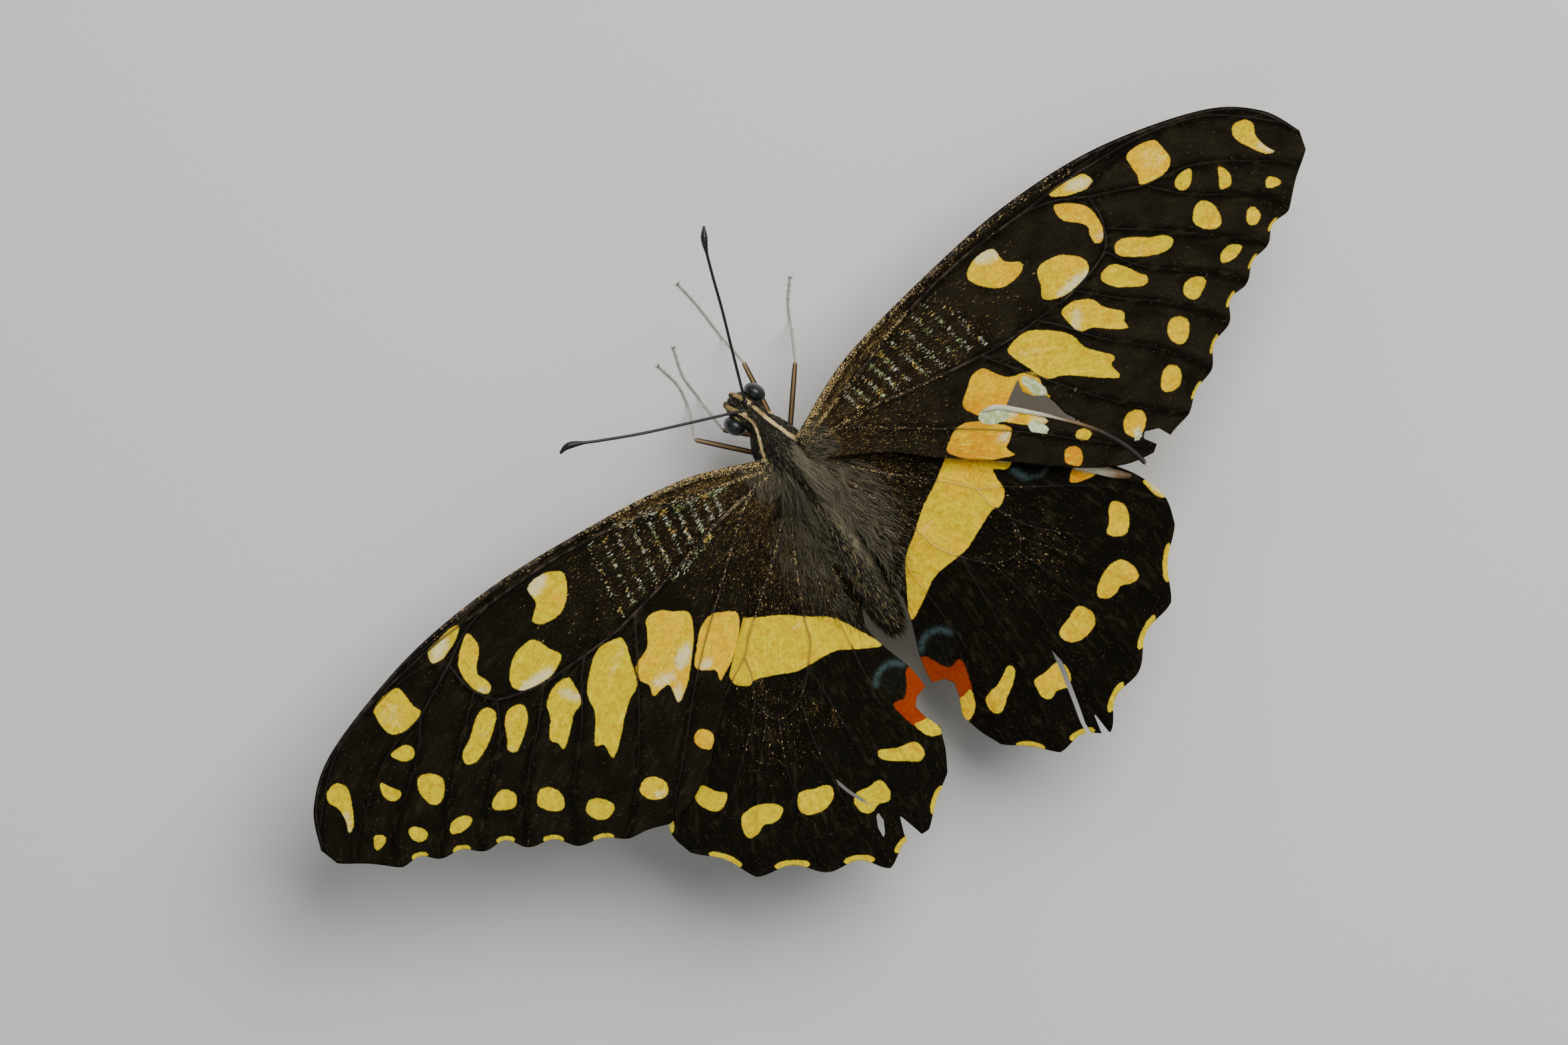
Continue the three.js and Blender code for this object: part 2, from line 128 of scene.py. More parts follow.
# %% A spline, even steps along it, and a tube round it
def spline(points, count, closed=False):
    """Catmull-Rom: between two points runs the cubic whose slope at each is half the step past it."""
    p = np.asarray(points, float)
    p = np.vstack([p[-1], p, p[:2]]) if closed else np.vstack([p[0], p, p[-1]])
    spans = len(p) - 3
    t = np.linspace(0, spans, count, endpoint=not closed)
    i = np.minimum(t.astype(int), spans - 1)
    f = (t - i)[:, None]
    a, b, c, d = p[i], p[i + 1], p[i + 2], p[i + 3]
    return 0.5 * (2 * b + (c - a) * f + (2 * a - 5 * b + 4 * c - d) * f**2 + (3 * b - a - 3 * c + d) * f**3)


def shares(points):
    """How far along the whole line each point is, from 0 to 1."""
    steps = np.linalg.norm(np.diff(points, axis=0), axis=1)
    along = np.concatenate([[0], np.cumsum(steps)])
    return along / along[-1]


def even(points, count):
    """The same line with its points an equal way apart, by interpolating along its length."""
    at, want = shares(points), np.linspace(0, 1, count)
    return np.stack([np.interp(want, at, column) for column in np.asarray(points).T], -1)


def unit(vectors):
    """Each vector over its own length."""
    return vectors / np.maximum(np.linalg.norm(vectors, axis=-1, keepdims=True), 1e-12)


def tube(path, wide, high=None, sides=10, sky=(0, 0, 1)):
    """Rings of points round a path: centre + across * wide * cos a + over * high * sin a.

    across is sky x tangent and over is tangent x across. Both ends close in a point.
    Returns points, faces and the share of the path at each point."""
    path = np.asarray(path, float)
    wide = np.broadcast_to(wide, len(path))
    high = wide if high is None else np.broadcast_to(high, len(path))
    tangent = unit(np.gradient(path, axis=0))
    across = unit(np.cross(np.asarray(sky, float), tangent))
    over = np.cross(tangent, across)
    a = np.linspace(0, 2 * np.pi, sides, endpoint=False)
    rings = (
        path[:, None]
        + across[:, None] * wide[:, None, None] * np.cos(a)[:, None]
        + over[:, None] * high[:, None, None] * np.sin(a)[:, None]
    )
    points = np.vstack([rings.reshape(-1, 3), path[0], path[-1]])
    share = np.concatenate([np.repeat(shares(path), sides), [0, 1]])
    return points, tube_faces(len(path), sides), share


def tube_faces(rings, sides):
    """Quads between neighbouring rings, and a fan of triangles round the point at each end."""
    ring, side = np.meshgrid(np.arange(rings - 1), np.arange(sides), indexing="ij")
    a, b = ring * sides + side, ring * sides + (side + 1) % sides
    quads = np.stack([a, b, b + sides, a + sides], -1).reshape(-1, 4)
    s, last = np.arange(sides), (rings - 1) * sides
    tail = np.stack([np.full(sides, rings * sides), (s + 1) % sides, s], -1)
    nose = np.stack([np.full(sides, rings * sides + 1), last + s, last + (s + 1) % sides], -1)
    return [quads, tail, nose]


print("a curve of 3 points and 2 mm:", np.round(spline([[0, 0], [1, 1], [2, 0]], 5), 2).tolist())

# %% [markdown]
# ## The outlines of the wings
# A butterfly's wing hangs on its veins: the front edge is one strong vein, and every other vein
# ends at the outer margin, which dips a little between each two of them. So the outline is a
# spline for the front edge, one for the rear edge, and a row of shallow scallops between.

# %% Named sizes of the wings
FOREWING = {
    "costa": [(1.8, -0.6), (3.6, 0.7), (10, 3.4), (20, 5.4), (30, 6.6), (40, 6.2), (50, 3.6), (54.7, 0.4),
     (56.6, -3.2)],
    "tips": [(56.1, -5), (51.6, -8.75), (48.15, -10.3), (44.6, -12.1), (41.1, -14.25), (37.3, -16.9),
     (33.2, -19.1), (29.3, -20.3)],
    "dips": [0.15, 0.6, 0.5, 0.8, 0.65, 0.4, 0.15],
    "rear": [(1.8, -2.6), (7.9, -5.9), (11.8, -9.2), (16.8, -13.1), (21.7, -17.2), (25.7, -19.6)],
}
HINDWING = {
    "costa": [(2, -1.8), (10, -4.7), (15, -7.6), (19, -10.8), (22.5, -15), (24.5, -18.5), (26.2, -21.2),
     (27.1, -24.2)],
    "tips": [(26.4, -26.8), (22, -32.6), (15.9, -36.2), (10.5, -39.4), (5.5, -38.3), (1.4, -34.6),
     (0, -30.6)],
    "dips": [0.5, 0.9, 0.95, 0.8, 0.2, -0.15],
    "rear": [(1.2, -4.2), (2.1, -6), (2.3, -9), (2, -14), (1.5, -18.7), (0.9, -20.8), (-0.2, -23.7),
     (-0.6, -26.2), (-0.5, -28.5)],
}
SCALLOP_STEPS = 24
TUCK_DEPTH = 1.2  # how far behind the front edge its roll is felt


def scallops(tips, dips):
    """Between two vein tips the margin is a straight line moved inward by dip * (1 - cos 2 pi t) / 2."""
    tips, dips = np.asarray(tips, float), np.asarray(dips, float)
    t = np.linspace(0, 1, SCALLOP_STEPS, endpoint=False)[None, :, None]
    chord = (tips[1:] - tips[:-1])[:, None]
    inward = unit(np.stack([chord[..., 1], -chord[..., 0]], -1))
    line = tips[:-1, None] + chord * t + inward * dips[:, None, None] * (1 - np.cos(2 * np.pi * t)) / 2
    return np.vstack([line.reshape(-1, 2), tips[-1:]])


def tuck_back(points, tuck, front):
    """How far a rolled front edge has moved back: tuck * sin(pi * (x / span) ** 1.5), and behind the
    edge less and less, by exp(-gap / depth)."""
    x = np.clip(points[:, 0], 0, None) / front[:, 0].max()
    gap = np.maximum(np.interp(points[:, 0], *front.T) - points[:, 1], 0)
    return tuck * np.sin(np.pi * np.minimum(x, 1) ** 1.5) * np.exp(-gap / TUCK_DEPTH)


def wing_edges(form, tuck=0.0):
    """Front, outer margin and rear of a wing, each as a line of points from the hinge outward."""
    margin = scallops(form["tips"], form["dips"])
    front_end, rear_end = (form["costa"][-1], margin[-1]) if form is FOREWING else (margin[0], margin[-1])
    costa = spline(form["costa"] if form is FOREWING else [*form["costa"], front_end], 300)
    costa[:, 1] -= tuck_back(costa, tuck, costa)
    return costa, np.vstack([costa[-1:], margin]), spline([*form["rear"], rear_end], 200)


print("forewing margin of", len(scallops(FOREWING["tips"], FOREWING["dips"])), "points")

# %% [markdown]
# ## A sheet stretched between four edges
# The Coons patch fills four edge curves with one smooth sheet. Its two parameters run from the
# root to the margin and from the front edge to the rear, as the veins and the rows of scales do.
# It is the natural grid for a wing, and its edges follow the outline exactly.

# %% The Coons patch
def coons(front, rear, root, margin):
    """(1 - v) front(u) + v rear(u) + (1 - u) root(v) + u margin(v), less the blend of the four corners."""
    u = np.linspace(0, 1, len(front))[:, None, None]
    v = np.linspace(0, 1, len(root))[None, :, None]
    ruled = (1 - v) * front[:, None] + v * rear[:, None] + (1 - u) * root[None] + u * margin[None]
    corners = (1 - u) * ((1 - v) * front[0] + v * rear[0]) + u * ((1 - v) * front[-1] + v * rear[-1])
    return ruled - corners


def wing_grid(form, tuck, rows, columns):
    """A grid of rows x columns points over a wing, between its front, rear, root and margin."""
    costa, margin, rear = wing_edges(form, tuck)
    front, back = even(costa, rows), even(rear, rows)
    root = np.linspace(front[0], back[0], columns)
    return coons(front, back, root, even(margin, columns))


print("middle of the forewing's sheet:", np.round(wing_grid(FOREWING, 0, 3, 3)[1, 1], 1))


# %% [markdown]
# ## How the wings lie
# The two sides of a living butterfly never lie quite alike. A `lie` says where a step out and a
# step forward on the wing fall in plan, how the wing climbs outward and backward, and how its tip
# droops. The values are the frame's own, so each wing rests in the middle of its plate.

# %% The lie of each wing, and its height
LIES = {
    ("forewing", RIGHT): dict(outward=(1, 0), forward=(0, 1), shift=(0, 0), rise=0.13, pitch=0.04,
                              droop=0.0008, tuck=0),
    ("forewing", LEFT): dict(outward=(1.007, -0.057), forward=(0.038, 1.051), shift=(-0.655, -0.077),
                             rise=0.12, pitch=0.03, droop=0.0006, tuck=0.7),
    ("hindwing", RIGHT): dict(outward=(1, 0), forward=(0, 1), shift=(0, 0), rise=0.115, pitch=0.05,
                              droop=0.0008, tuck=0),
    ("hindwing", LEFT): dict(outward=(0.991, 0.013), forward=(-0.097, 0.926), shift=(-0.588, -1.861),
                             rise=0.105, pitch=0.04, droop=0.0006, tuck=0),
}
HINGES = {"forewing": (3.6, 0, 11.2), "hindwing": (3, 4, 10.1)}
FOLD_FROM, FOLD_DROP = 7, 0.022


def laid(drawn, lie):
    """A point drawn on the wing to its plan: outward * x + forward * y + shift."""
    return drawn[..., :1] * lie["outward"] + drawn[..., 1:2] * lie["forward"] + lie["shift"]


def on_wing(kind, hand, drawn, above=0.0):
    """Drawn wing points to (side, forward, up): hinge + rise * reach + pitch * back - droop * reach^2."""
    lie = LIES[kind, hand]
    plan = laid(np.asarray(drawn, float), lie)
    hinge_out, hinge_back, hinge_up = HINGES[kind]
    reach = plan[..., 0] - hinge_out
    up = hinge_up + lie["rise"] * reach - lie["pitch"] * (plan[..., 1] + hinge_back) - lie["droop"] * reach**2
    if kind == "hindwing":
        up -= np.maximum(0, FOLD_FROM - plan[..., 0]) ** 2 * FOLD_DROP
    return np.stack([hand * plan[..., 0], plan[..., 1], up + above], -1)


for (kind, hand), lie in LIES.items():
    print(kind, hand, "tip at", np.round(on_wing(kind, hand, np.array([50.0, -5.0])), 1))

# %% [markdown]
# ## Distance to a line
# Nearly all that a wing shows can be said with one measure: how far a point is from some line.
# Near a vein the membrane rises, inside a closed line it is yellow, and so on. The distance to a
# closed line is made negative inside, so that a shader can draw the edge sharp at any size.

# %% Distances worked out as whole arrays
def to_line(points, line):
    """The least distance from each point to a chain of straight pieces, and the nearest place on it."""
    best, nearest = np.full(len(points), np.inf), np.zeros((len(points), 2))
    for a, b in zip(line[:-1], line[1:]):
        step = b - a
        t = np.clip((points - a) @ step / max(step @ step, 1e-12), 0, 1)
        foot = a + t[:, None] * step
        gap = np.hypot(*(points - foot).T)
        closer = gap < best
        best[closer], nearest[closer] = gap[closer], foot[closer]
    return best, nearest


def inside(points, loop):
    """Even-odd rule: a point is inside if a ray to its right crosses the loop an odd number of times."""
    x, y = points.T
    odd = np.zeros(len(points), bool)
    for (x0, y0), (x1, y1) in zip(loop, np.roll(loop, -1, axis=0)):
        crosses = (y0 > y) != (y1 > y)
        odd ^= crosses & (x < (x1 - x0) * (y - y0) / (y1 - y0 if y1 != y0 else 1e-12) + x0)
    return odd


FAR = 3.0  # beyond this a distance to a loop isn't worked out


def closed(loop):
    """A loop's points as an array, with the first one again at the end."""
    return np.vstack([loop, loop[:1]]).astype(float)


def to_loop(points, loop):
    """Signed distance to a closed loop, negative inside, worked out only near the loop."""
    loop = np.asarray(loop, float)
    close = np.all((points > loop.min(0) - FAR) & (points < loop.max(0) + FAR), axis=1)
    gap = np.full(len(points), FAR)
    near = points[close]
    distance, _ = to_line(near, closed(loop))
    gap[close] = np.where(inside(near, loop), -distance, distance)
    return gap


def blob(loop):
    """A few points round a spot, made a smooth closed line."""
    return spline(loop, 5 * len(loop), closed=True)


def oval(x, y, length, width, degrees=0):
    """An ellipse of that length and width, its long axis turned from the outward direction."""
    a, turn = np.linspace(0, 2 * np.pi, 20, endpoint=False), np.radians(degrees)
    along, across = length / 2 * np.cos(a), width / 2 * np.sin(a)
    return np.stack([x + along * np.cos(turn) - across * np.sin(turn),
                     y + along * np.sin(turn) + across * np.cos(turn)], -1)


to_circle = to_loop(np.zeros((1, 2)), oval(0, 0, 2, 2))
print("distance from the middle of a 2 mm circle:", np.round(to_circle, 2))

# %% [markdown]
# ## The veins
# The veins are hollow rods that carry the wing. They start thick at the hinge, and the long cell
# between the front veins and the cubital vein is closed by a short cross vein, from which the
# others fan out to the margin. Each is given by the points it passes and its radius at both ends.

# %% Where the veins run
FORE_VEINS = [
    ([(1.9, -0.9), (3.8, 0.45), (10, 3.15), (20, 5.15), (30, 6.35), (40, 5.95), (50, 3.35), (54.5, 0.3),
      (56.4, -3.2)], 0.3, 0.12),
    ([(2.2, -1), (4, 0.1), (8, 2.2), (12, 3.55), (18, 4.75), (24, 5.55), (30, 6), (36, 5.75),
      (40, 5.6)], 0.2, 0.1),
    ([(2.4, -1.1), (4, -0.4), (8, 0.9), (10.5, 1.6), (15, 3.1), (20, 4.2), (25, 4.9), (31, 5.1), (36, 5.3),
      (40, 5.1), (45, 4.6), (50, 3), (53, 0.8), (55.6, -1.6)], 0.22, 0.1),
    ([(31, 5.1), (34, 4.4), (37, 2.9), (40, 1.6), (42, 0.75), (44, 0.45), (46, 0), (48, -0.9), (50, -2.1),
      (52.5, -3.8), (55.2, -6.1)], 0.15, 0.08),
    ([(37.2, 3), (38.4, 3.9), (40.4, 4.4), (43, 4.4), (45.6, 4)], 0.1, 0.07),
    ([(42, 0.75), (43.3, -0.8), (45, -2.4), (47.3, -4), (49.5, -5.4), (51, -6.9), (51.6, -8.6)], 0.11, 0.07),
    ([(36.6, -0.4), (39, -2.2), (41.4, -4), (43.5, -5.9), (46, -8), (48.1, -10.2)], 0.11, 0.07),
    ([(35.4, -2.2), (37.2, -5), (40, -7.5), (43, -10), (44.5, -12)], 0.11, 0.07),
    ([(31, -3.6), (34, -6.5), (37, -9), (39.6, -11.8), (41, -14.1)], 0.12, 0.07),
    ([(26.4, -3.8), (28, -5.4), (30.5, -8.6), (34, -12), (36.3, -15), (37.2, -16.8)], 0.13, 0.07),
    ([(20.4, -3.6), (21.5, -5.2), (23.5, -8), (26, -11.4), (29.5, -15.6), (33.1, -19)], 0.14, 0.07),
    ([(2.6, -1.3), (6, -1.5), (10, -1.9), (13, -2.5), (18, -3.3), (23, -3.9), (28, -3.8), (31, -3.6),
      (34, -2.8), (35.4, -2.2)], 0.22, 0.13),
    ([(35.4, -2.2), (36.2, -1.2), (36.9, 0.6), (37, 1.9), (37, 2.9)], 0.12, 0.12),
    ([(2.8, -1.5), (6, -1.9), (10, -4.6), (13, -6.8), (15.6, -8.6), (18, -10.4), (21, -12.9), (25, -16.6),
      (29.1, -20)], 0.18, 0.08),
]
HIND_VEINS = [
    ([(2.2, -2.2), (6, -3.8), (11, -6), (15.5, -9), (19, -12.2), (22, -15.8), (24.6, -19.6), (26.6, -23.4)],
     0.16, 0.07),
    ([(2.4, -2.8), (6.5, -7.2), (10.4, -10.8), (11.9, -12.2), (13.1, -13.6), (15.1, -14.8), (18, -16.8),
      (20.4, -18.3), (23.4, -20.6), (26.6, -24)], 0.18, 0.08),
    ([(13.1, -13.6), (13.3, -15.4), (14, -17.4), (15.3, -19.4), (17.6, -21.7), (19.8, -23.9), (22.4, -25.6),
      (26.2, -26.7)], 0.13, 0.07),
    ([(14.2, -18), (13.9, -19.6), (16.5, -23.2), (19.4, -27.8), (21.9, -32.3)], 0.11, 0.07),
    ([(13, -20.7), (14.2, -24), (15.4, -29), (15.9, -33), (15.9, -36)], 0.11, 0.07),
    ([(10.4, -20.3), (11.1, -24.6), (11.3, -29.4), (11, -34.6), (10.5, -39.2)], 0.11, 0.07),
    ([(8.2, -18.2), (8, -22), (7.6, -27.6), (6.6, -33.4), (5.5, -38.1)], 0.11, 0.07),
    ([(2.4, -3.4), (4.6, -8.6), (6.4, -13.9), (6.8, -15.7), (7.8, -17.4), (8.9, -18.8), (10.4, -20.3)],
     0.18, 0.12),
    ([(10.4, -20.3), (11.8, -20.8), (13, -20.7), (13.9, -19.6), (14.2, -18)], 0.1, 0.1),
    ([(2.1, -4), (3.2, -9), (3.6, -14), (3.7, -19), (3.9, -25), (3, -30.6), (1.5, -34.4)], 0.14, 0.07),
]
VEINS = {"forewing": FORE_VEINS, "hindwing": HIND_VEINS}
FORMS = {"forewing": FOREWING, "hindwing": HINDWING}
VEIN_LINES = {kind: [spline(points, 6 * len(points)) for points, _, _ in veins]
              for kind, veins in VEINS.items()}
print({kind: len(veins) for kind, veins in VEINS.items()}, "veins")

# %% [markdown]
# ## The fluted membrane
# Between two veins the membrane sags, and a crease runs along the middle of the sag. With d1 and
# d2 the distances to the nearest and the next vein, s = d1 / (d1 + d2) is 0 on a vein and 1/2
# halfway, so cos(2 pi s) makes the flutes wherever the veins go, even round the end of the cell.

# %% Relief of the membrane
FLUTE, CREASE, RIDGE = 0.085, 0.045, 0.03
CREASE_WIDTH, RIDGE_WIDTH = 0.07, 0.25


def vein_gaps(kind, drawn):
    """Distances to the nearest and the second nearest vein."""
    gaps = np.sort([to_line(drawn, line)[0] for line in VEIN_LINES[kind]], axis=0)
    return gaps[0], gaps[1]


def relief(kind, drawn, first, second):
    """flute * cos(2 pi s) + crease * exp(-((s - 1/2) / crease width)^2) + ridge * exp(-(d1 / ridge
    width)^2), growing from nothing at the hinge."""
    share = first / np.maximum(first + second, 1e-6)
    grow = np.clip((np.hypot(drawn[:, 0] - 2, drawn[:, 1] + 2) - 2) / 14, 0, 1)
    room = np.clip((first + second) / 2.5, 0, 1)
    waves = FLUTE * np.cos(2 * np.pi * share) + CREASE * np.exp(-(((share - 0.5) / CREASE_WIDTH) ** 2))
    return grow * (room * waves + RIDGE * np.exp(-((first / RIDGE_WIDTH) ** 2)))


half_way = relief("forewing", np.array([[30.0, 0.0]]), np.ones(1), np.ones(1))
print("halfway between two veins the membrane lies", np.round(half_way, 3), "mm off")


# %% [markdown]
# ## The markings
# The yellow spots are patches of yellow scales on a black-brown ground. Each is a smooth loop
# through a few points on the wing, the same on both sides, since one pattern makes both. The spots
# that follow the margin sit in the dips between two vein tips, so they are worked out from those.

# %% Spots of the forewing
FORE_SPOTS = {
    "costal bar": [(34.1, 5.05), (35.1, 5.3), (36.8, 5.1), (37.8, 4.95), (38.2, 3.95), (37.4, 3.6),
     (36.3, 3.8), (35.1, 4.25)],
    "cell end": [(33.9, 4), (34.7, 3.7), (35.8, 2.9), (36.5, 1.9), (36.6, 0.4), (36.3, -0.6), (35.7, -1.3),
     (35.1, -1), (35.1, -0.2), (35.4, 0.6), (34.9, 1.4), (34, 2.2), (33.7, 3)],
    "cell outer": [(28.2, -2.6), (28.7, -1.5), (29.1, -0.3), (29.9, 0.2), (31.7, -0.1), (32.9, -1),
     (33.5, -2), (32.9, -3), (31.3, -3.4), (29.7, -3.4)],
    "cell inner": [(23.5, 2.9), (24.4, 3.9), (25.75, 4.2), (27, 3.9), (27.2, 2.4), (28.4, 1.4),
     (27.8, 0.6), (26, 0.4), (24.5, 1.3)],
    "upper square": [(42.1, 4), (43.4, 4.2), (44.9, 3.8), (45.25, 3), (45.2, 1.3), (43.8, 0.6), (41.7, 1),
     (41.9, 1.9), (41.9, 3)],
    "upper small": [(44.2, -1), (44.8, -0.3), (46.2, -0.3), (46, -1), (45.4, -1.6), (44.6, -1.7)],
    "upper wedge": [(48.5, -1.7), (49, -2.6), (48.8, -3.5), (48.2, -3.8), (47.5, -3.5), (48, -2.6)],
    "apical": [(51.3, 0), (51.9, 0.7), (53, 0.5), (53.4, -0.3), (53, -1.3), (53.2, -2.6), (53.6, -3.5),
     (52.8, -3.2), (51.9, -1.8), (51.4, -0.8)],
    "post five": [(43.7, -4.8), (44.4, -3.7), (45.4, -3.4), (46.1, -4.3), (46.1, -5.6), (45.5, -6.3),
     (44.5, -6)],
    "margin one": [(51.1, -5.7), (51.8, -5.1), (52.5, -5.9), (52.3, -6.3), (51.4, -6.1)],
    "margin two": [(47.8, -7.4), (48.4, -6.6), (49.1, -6.6), (49.2, -7.6), (48.5, -8.1), (47.9, -7.9)],
    "margin three": [(43.7, -9.1), (44.2, -8.5), (45.3, -8.3), (46.1, -9), (45.3, -9.5), (44.2, -9.5)],
    "margin four": [(39.2, -9.6), (39.9, -8.8), (41.1, -9), (41.6, -9.7), (40.9, -10.3), (40, -10.7),
     (39.4, -10.3)],
    "margin five": [(35.8, -12), (36.4, -11.1), (37.3, -10.9), (38.1, -11.8), (37.4, -13), (36.5, -13.4),
     (35.9, -12.9)],
    "margin six": [(32.5, -15.7), (33.3, -14.6), (34.2, -14.3), (34.9, -14.9), (34.6, -15.9),
     (33.8, -16.5), (32.8, -16.3)],
    "margin seven": [(27.4, -17.2), (27.9, -16.2), (28.8, -15.8), (29.8, -16.3), (29.7, -17.2),
     (29, -17.9), (28, -18.1)],
    "margin eight": [(21.3, -16.4), (21.8, -15.4), (22.6, -15.4), (23.1, -16.2), (22.3, -17.3)],
    "disc five": [(36.2, -2.6), (36.9, -2.1), (38, -2.4), (39.4, -3.4), (40.8, -4.1), (41.2, -5),
     (40.2, -5.4), (38.6, -4.9), (37, -3.9), (36.3, -3.3)],
    "disc four": [(33.7, -4), (34.3, -3.6), (35.3, -3.6), (36.2, -4.5), (36.8, -5.6), (37.3, -6.3),
     (36.8, -6.9), (35.7, -6.4), (34.4, -5.5), (33.8, -4.7)],
    "disc three": [(28.8, -4.9), (29.2, -4.4), (30.5, -4.4), (31.9, -5.2), (32.4, -6.4), (33.6, -7.8),
     (33.2, -8.6), (33.1, -9.3), (31.7, -8.4), (30.5, -7.4), (29.2, -6.9)],
    "disc two": [(22.7, -5), (23.2, -4.4), (25.2, -4.2), (27.2, -5.5), (28.4, -6.8), (28.9, -8.6),
     (30.6, -10.7), (29.9, -11.2), (30, -12.6), (28.6, -11.8), (26.8, -10.3), (25.5, -9.4), (24.2, -8.8),
     (23.4, -7)],
    "disc one": [(16.4, -6.5), (17.6, -5.5), (18.3, -4.9), (19.1, -4.6), (20, -4.8), (20.7, -5.9),
     (21.5, -6.8), (23.2, -7.4), (23.7, -8.6), (23.3, -9.5), (23.6, -10.5), (22.6, -10.4), (21.8, -10.6),
     (22.1, -12.2), (21.3, -12), (20.2, -11.3), (18.9, -10.1), (18, -9.2), (17, -8)],
    "disc base": [(12.8, -9.3), (13.6, -8.5), (14.8, -7.9), (16.2, -8.2), (17.6, -9.3), (18.9, -10.7),
     (18.2, -11.6), (17.5, -12.1), (17.8, -13), (16.9, -12.7), (15.6, -12.1), (14, -10.9)],
}
# How orange a spot is, from 0 for lemon to 1, where it isn't the usual 0.25.
FORE_TONES = {"disc one": 0.7, "disc base": 0.85, "cell inner": 0.5, "margin seven": 0.5, "margin eight": 1,
              "upper square": 0.5, "cell end": 0.5, "disc two": 0.2}

# %% Spots of the hindwing
HIND_SPOTS = {
    "band": [(1.1, -20.3), (2.4, -17.7), (4, -15.2), (5.8, -13.9), (8, -12.2), (10, -11.1), (11.9, -9.9),
     (13.1, -8.9), (14.2, -8.4), (15.8, -8.6), (16.9, -9.3), (18.3, -11), (17.8, -12), (17.3, -13.3),
     (16.4, -13.7), (15.4, -13), (15.2, -14), (15.1, -15.3), (14, -16.2), (13.1, -16.1), (10.9, -17),
     (9.3, -17.7), (7.8, -17.9), (6.2, -18), (4.9, -18.3), (3.4, -19.2)],
    "outer one": [(2.4, -31.3), (2.6, -30.4), (3.3, -30), (4.4, -29.8), (5.5, -29.2), (6.2, -28.9),
     (6.4, -29.6), (5.6, -30.5), (4.4, -31.3), (3.3, -32.1), (2.6, -31.9)],
    "outer two": [(7.1, -32.4), (7.4, -31.4), (8.6, -31.4), (9.9, -31.2), (10.5, -31.8), (10.4, -33),
     (9.6, -33.7), (8.6, -33.4), (7.6, -33.7), (7.1, -33.1)],
    "outer three": [(11.7, -29.6), (12, -28.9), (13.2, -28.5), (14.5, -28), (15.2, -28.6), (15.4, -29.6),
     (14.8, -30.4), (13.3, -30.8), (12.2, -30.4)],
    "outer four": [(16.7, -28.3), (17.5, -27.3), (19, -26.6), (20.4, -26.7), (21, -27.8), (20.9, -28.9),
     (20.1, -29.1), (19, -28.7), (18.3, -29), (17.4, -29)],
    "outer five": [(20.7, -24), (21.5, -23.2), (22.2, -22.1), (22.9, -21.8), (23.5, -22.5), (23.4, -23.6),
     (22.5, -24.8), (21.6, -24.9)],
    "outer six": [(20.6, -18.1), (21.6, -17.1), (22.4, -17.4), (23.3, -18.7), (22, -18.7)],
    "tornal": [(0.2, -29), (1.2, -28.9), (2, -28.8), (1.6, -30.1), (0.8, -30.9), (-0.1, -31), (-0.2, -30)],
    "apex": [(26.2, -21.9), (26.9, -22.2), (27.6, -23.2), (27.2, -24.2), (26.5, -23.7)],
}
HIND_TONES = {"outer six": 1, "apex": 0.05, "tornal": 0.3}
HIND_RED = [(-0.9, -23.9), (0.2, -23.8), (0.9, -25.1), (1.6, -26), (2.8, -25.9), (2.6, -27.4), (1.9, -29.1),
            (0.9, -29.2), (0.2, -28), (0.4, -26.7), (-0.8, -26.9)]
SPOTS = {"forewing": FORE_SPOTS, "hindwing": HIND_SPOTS}
TONES = {"forewing": FORE_TONES, "hindwing": HIND_TONES}
USUAL_TONE, LUNULE_TONE = 0.25, 0.1
# Painted shade: the left wings lie in shade, so their yellow is shifted this much towards the darker, more
# olive lemon.
LEFT_SHADE_TONE = 0.35  # how much more lemon the left wings are
LUNULE_SHARE = {"forewing": 0.42, "hindwing": 0.5}
LUNULE_WIDTH = {("forewing", RIGHT): 0.42, ("forewing", LEFT): 0.75,
                ("hindwing", RIGHT): 0.9, ("hindwing", LEFT): 0.95}
LEAST_DIP = 0.2  # a shallower dip of the margin has no sliver


def lunules(kind, hand):
    """A pale sliver in each dip of the margin: an oval at the middle of the chord, moved in by the dip."""
    form, width = FORMS[kind], LUNULE_WIDTH[kind, hand]
    tips, dips = np.asarray(form["tips"], float), np.asarray(form["dips"], float)
    chord = tips[1:] - tips[:-1]
    inward = unit(np.stack([chord[:, 1], -chord[:, 0]], -1))
    middle = (tips[1:] + tips[:-1]) / 2 + inward * dips[:, None]
    size, turn = np.linalg.norm(chord, axis=1), np.degrees(np.arctan2(chord[:, 1], chord[:, 0]))
    return [oval(x, y, LUNULE_SHARE[kind] * s, width, t)
            for (x, y), s, t, dip in zip(middle, size, turn, dips) if dip >= LEAST_DIP]


print(len(FORE_SPOTS), "forewing spots and", len(HIND_SPOTS), "hindwing spots")

# %% [markdown]
# ## What age and sun have done
# Scales rub off. Where they have gone from a yellow spot it shows pale and bluish, and where the
# membrane itself is bare it is greenish and glassy. Each patch is an oval, and its strength.

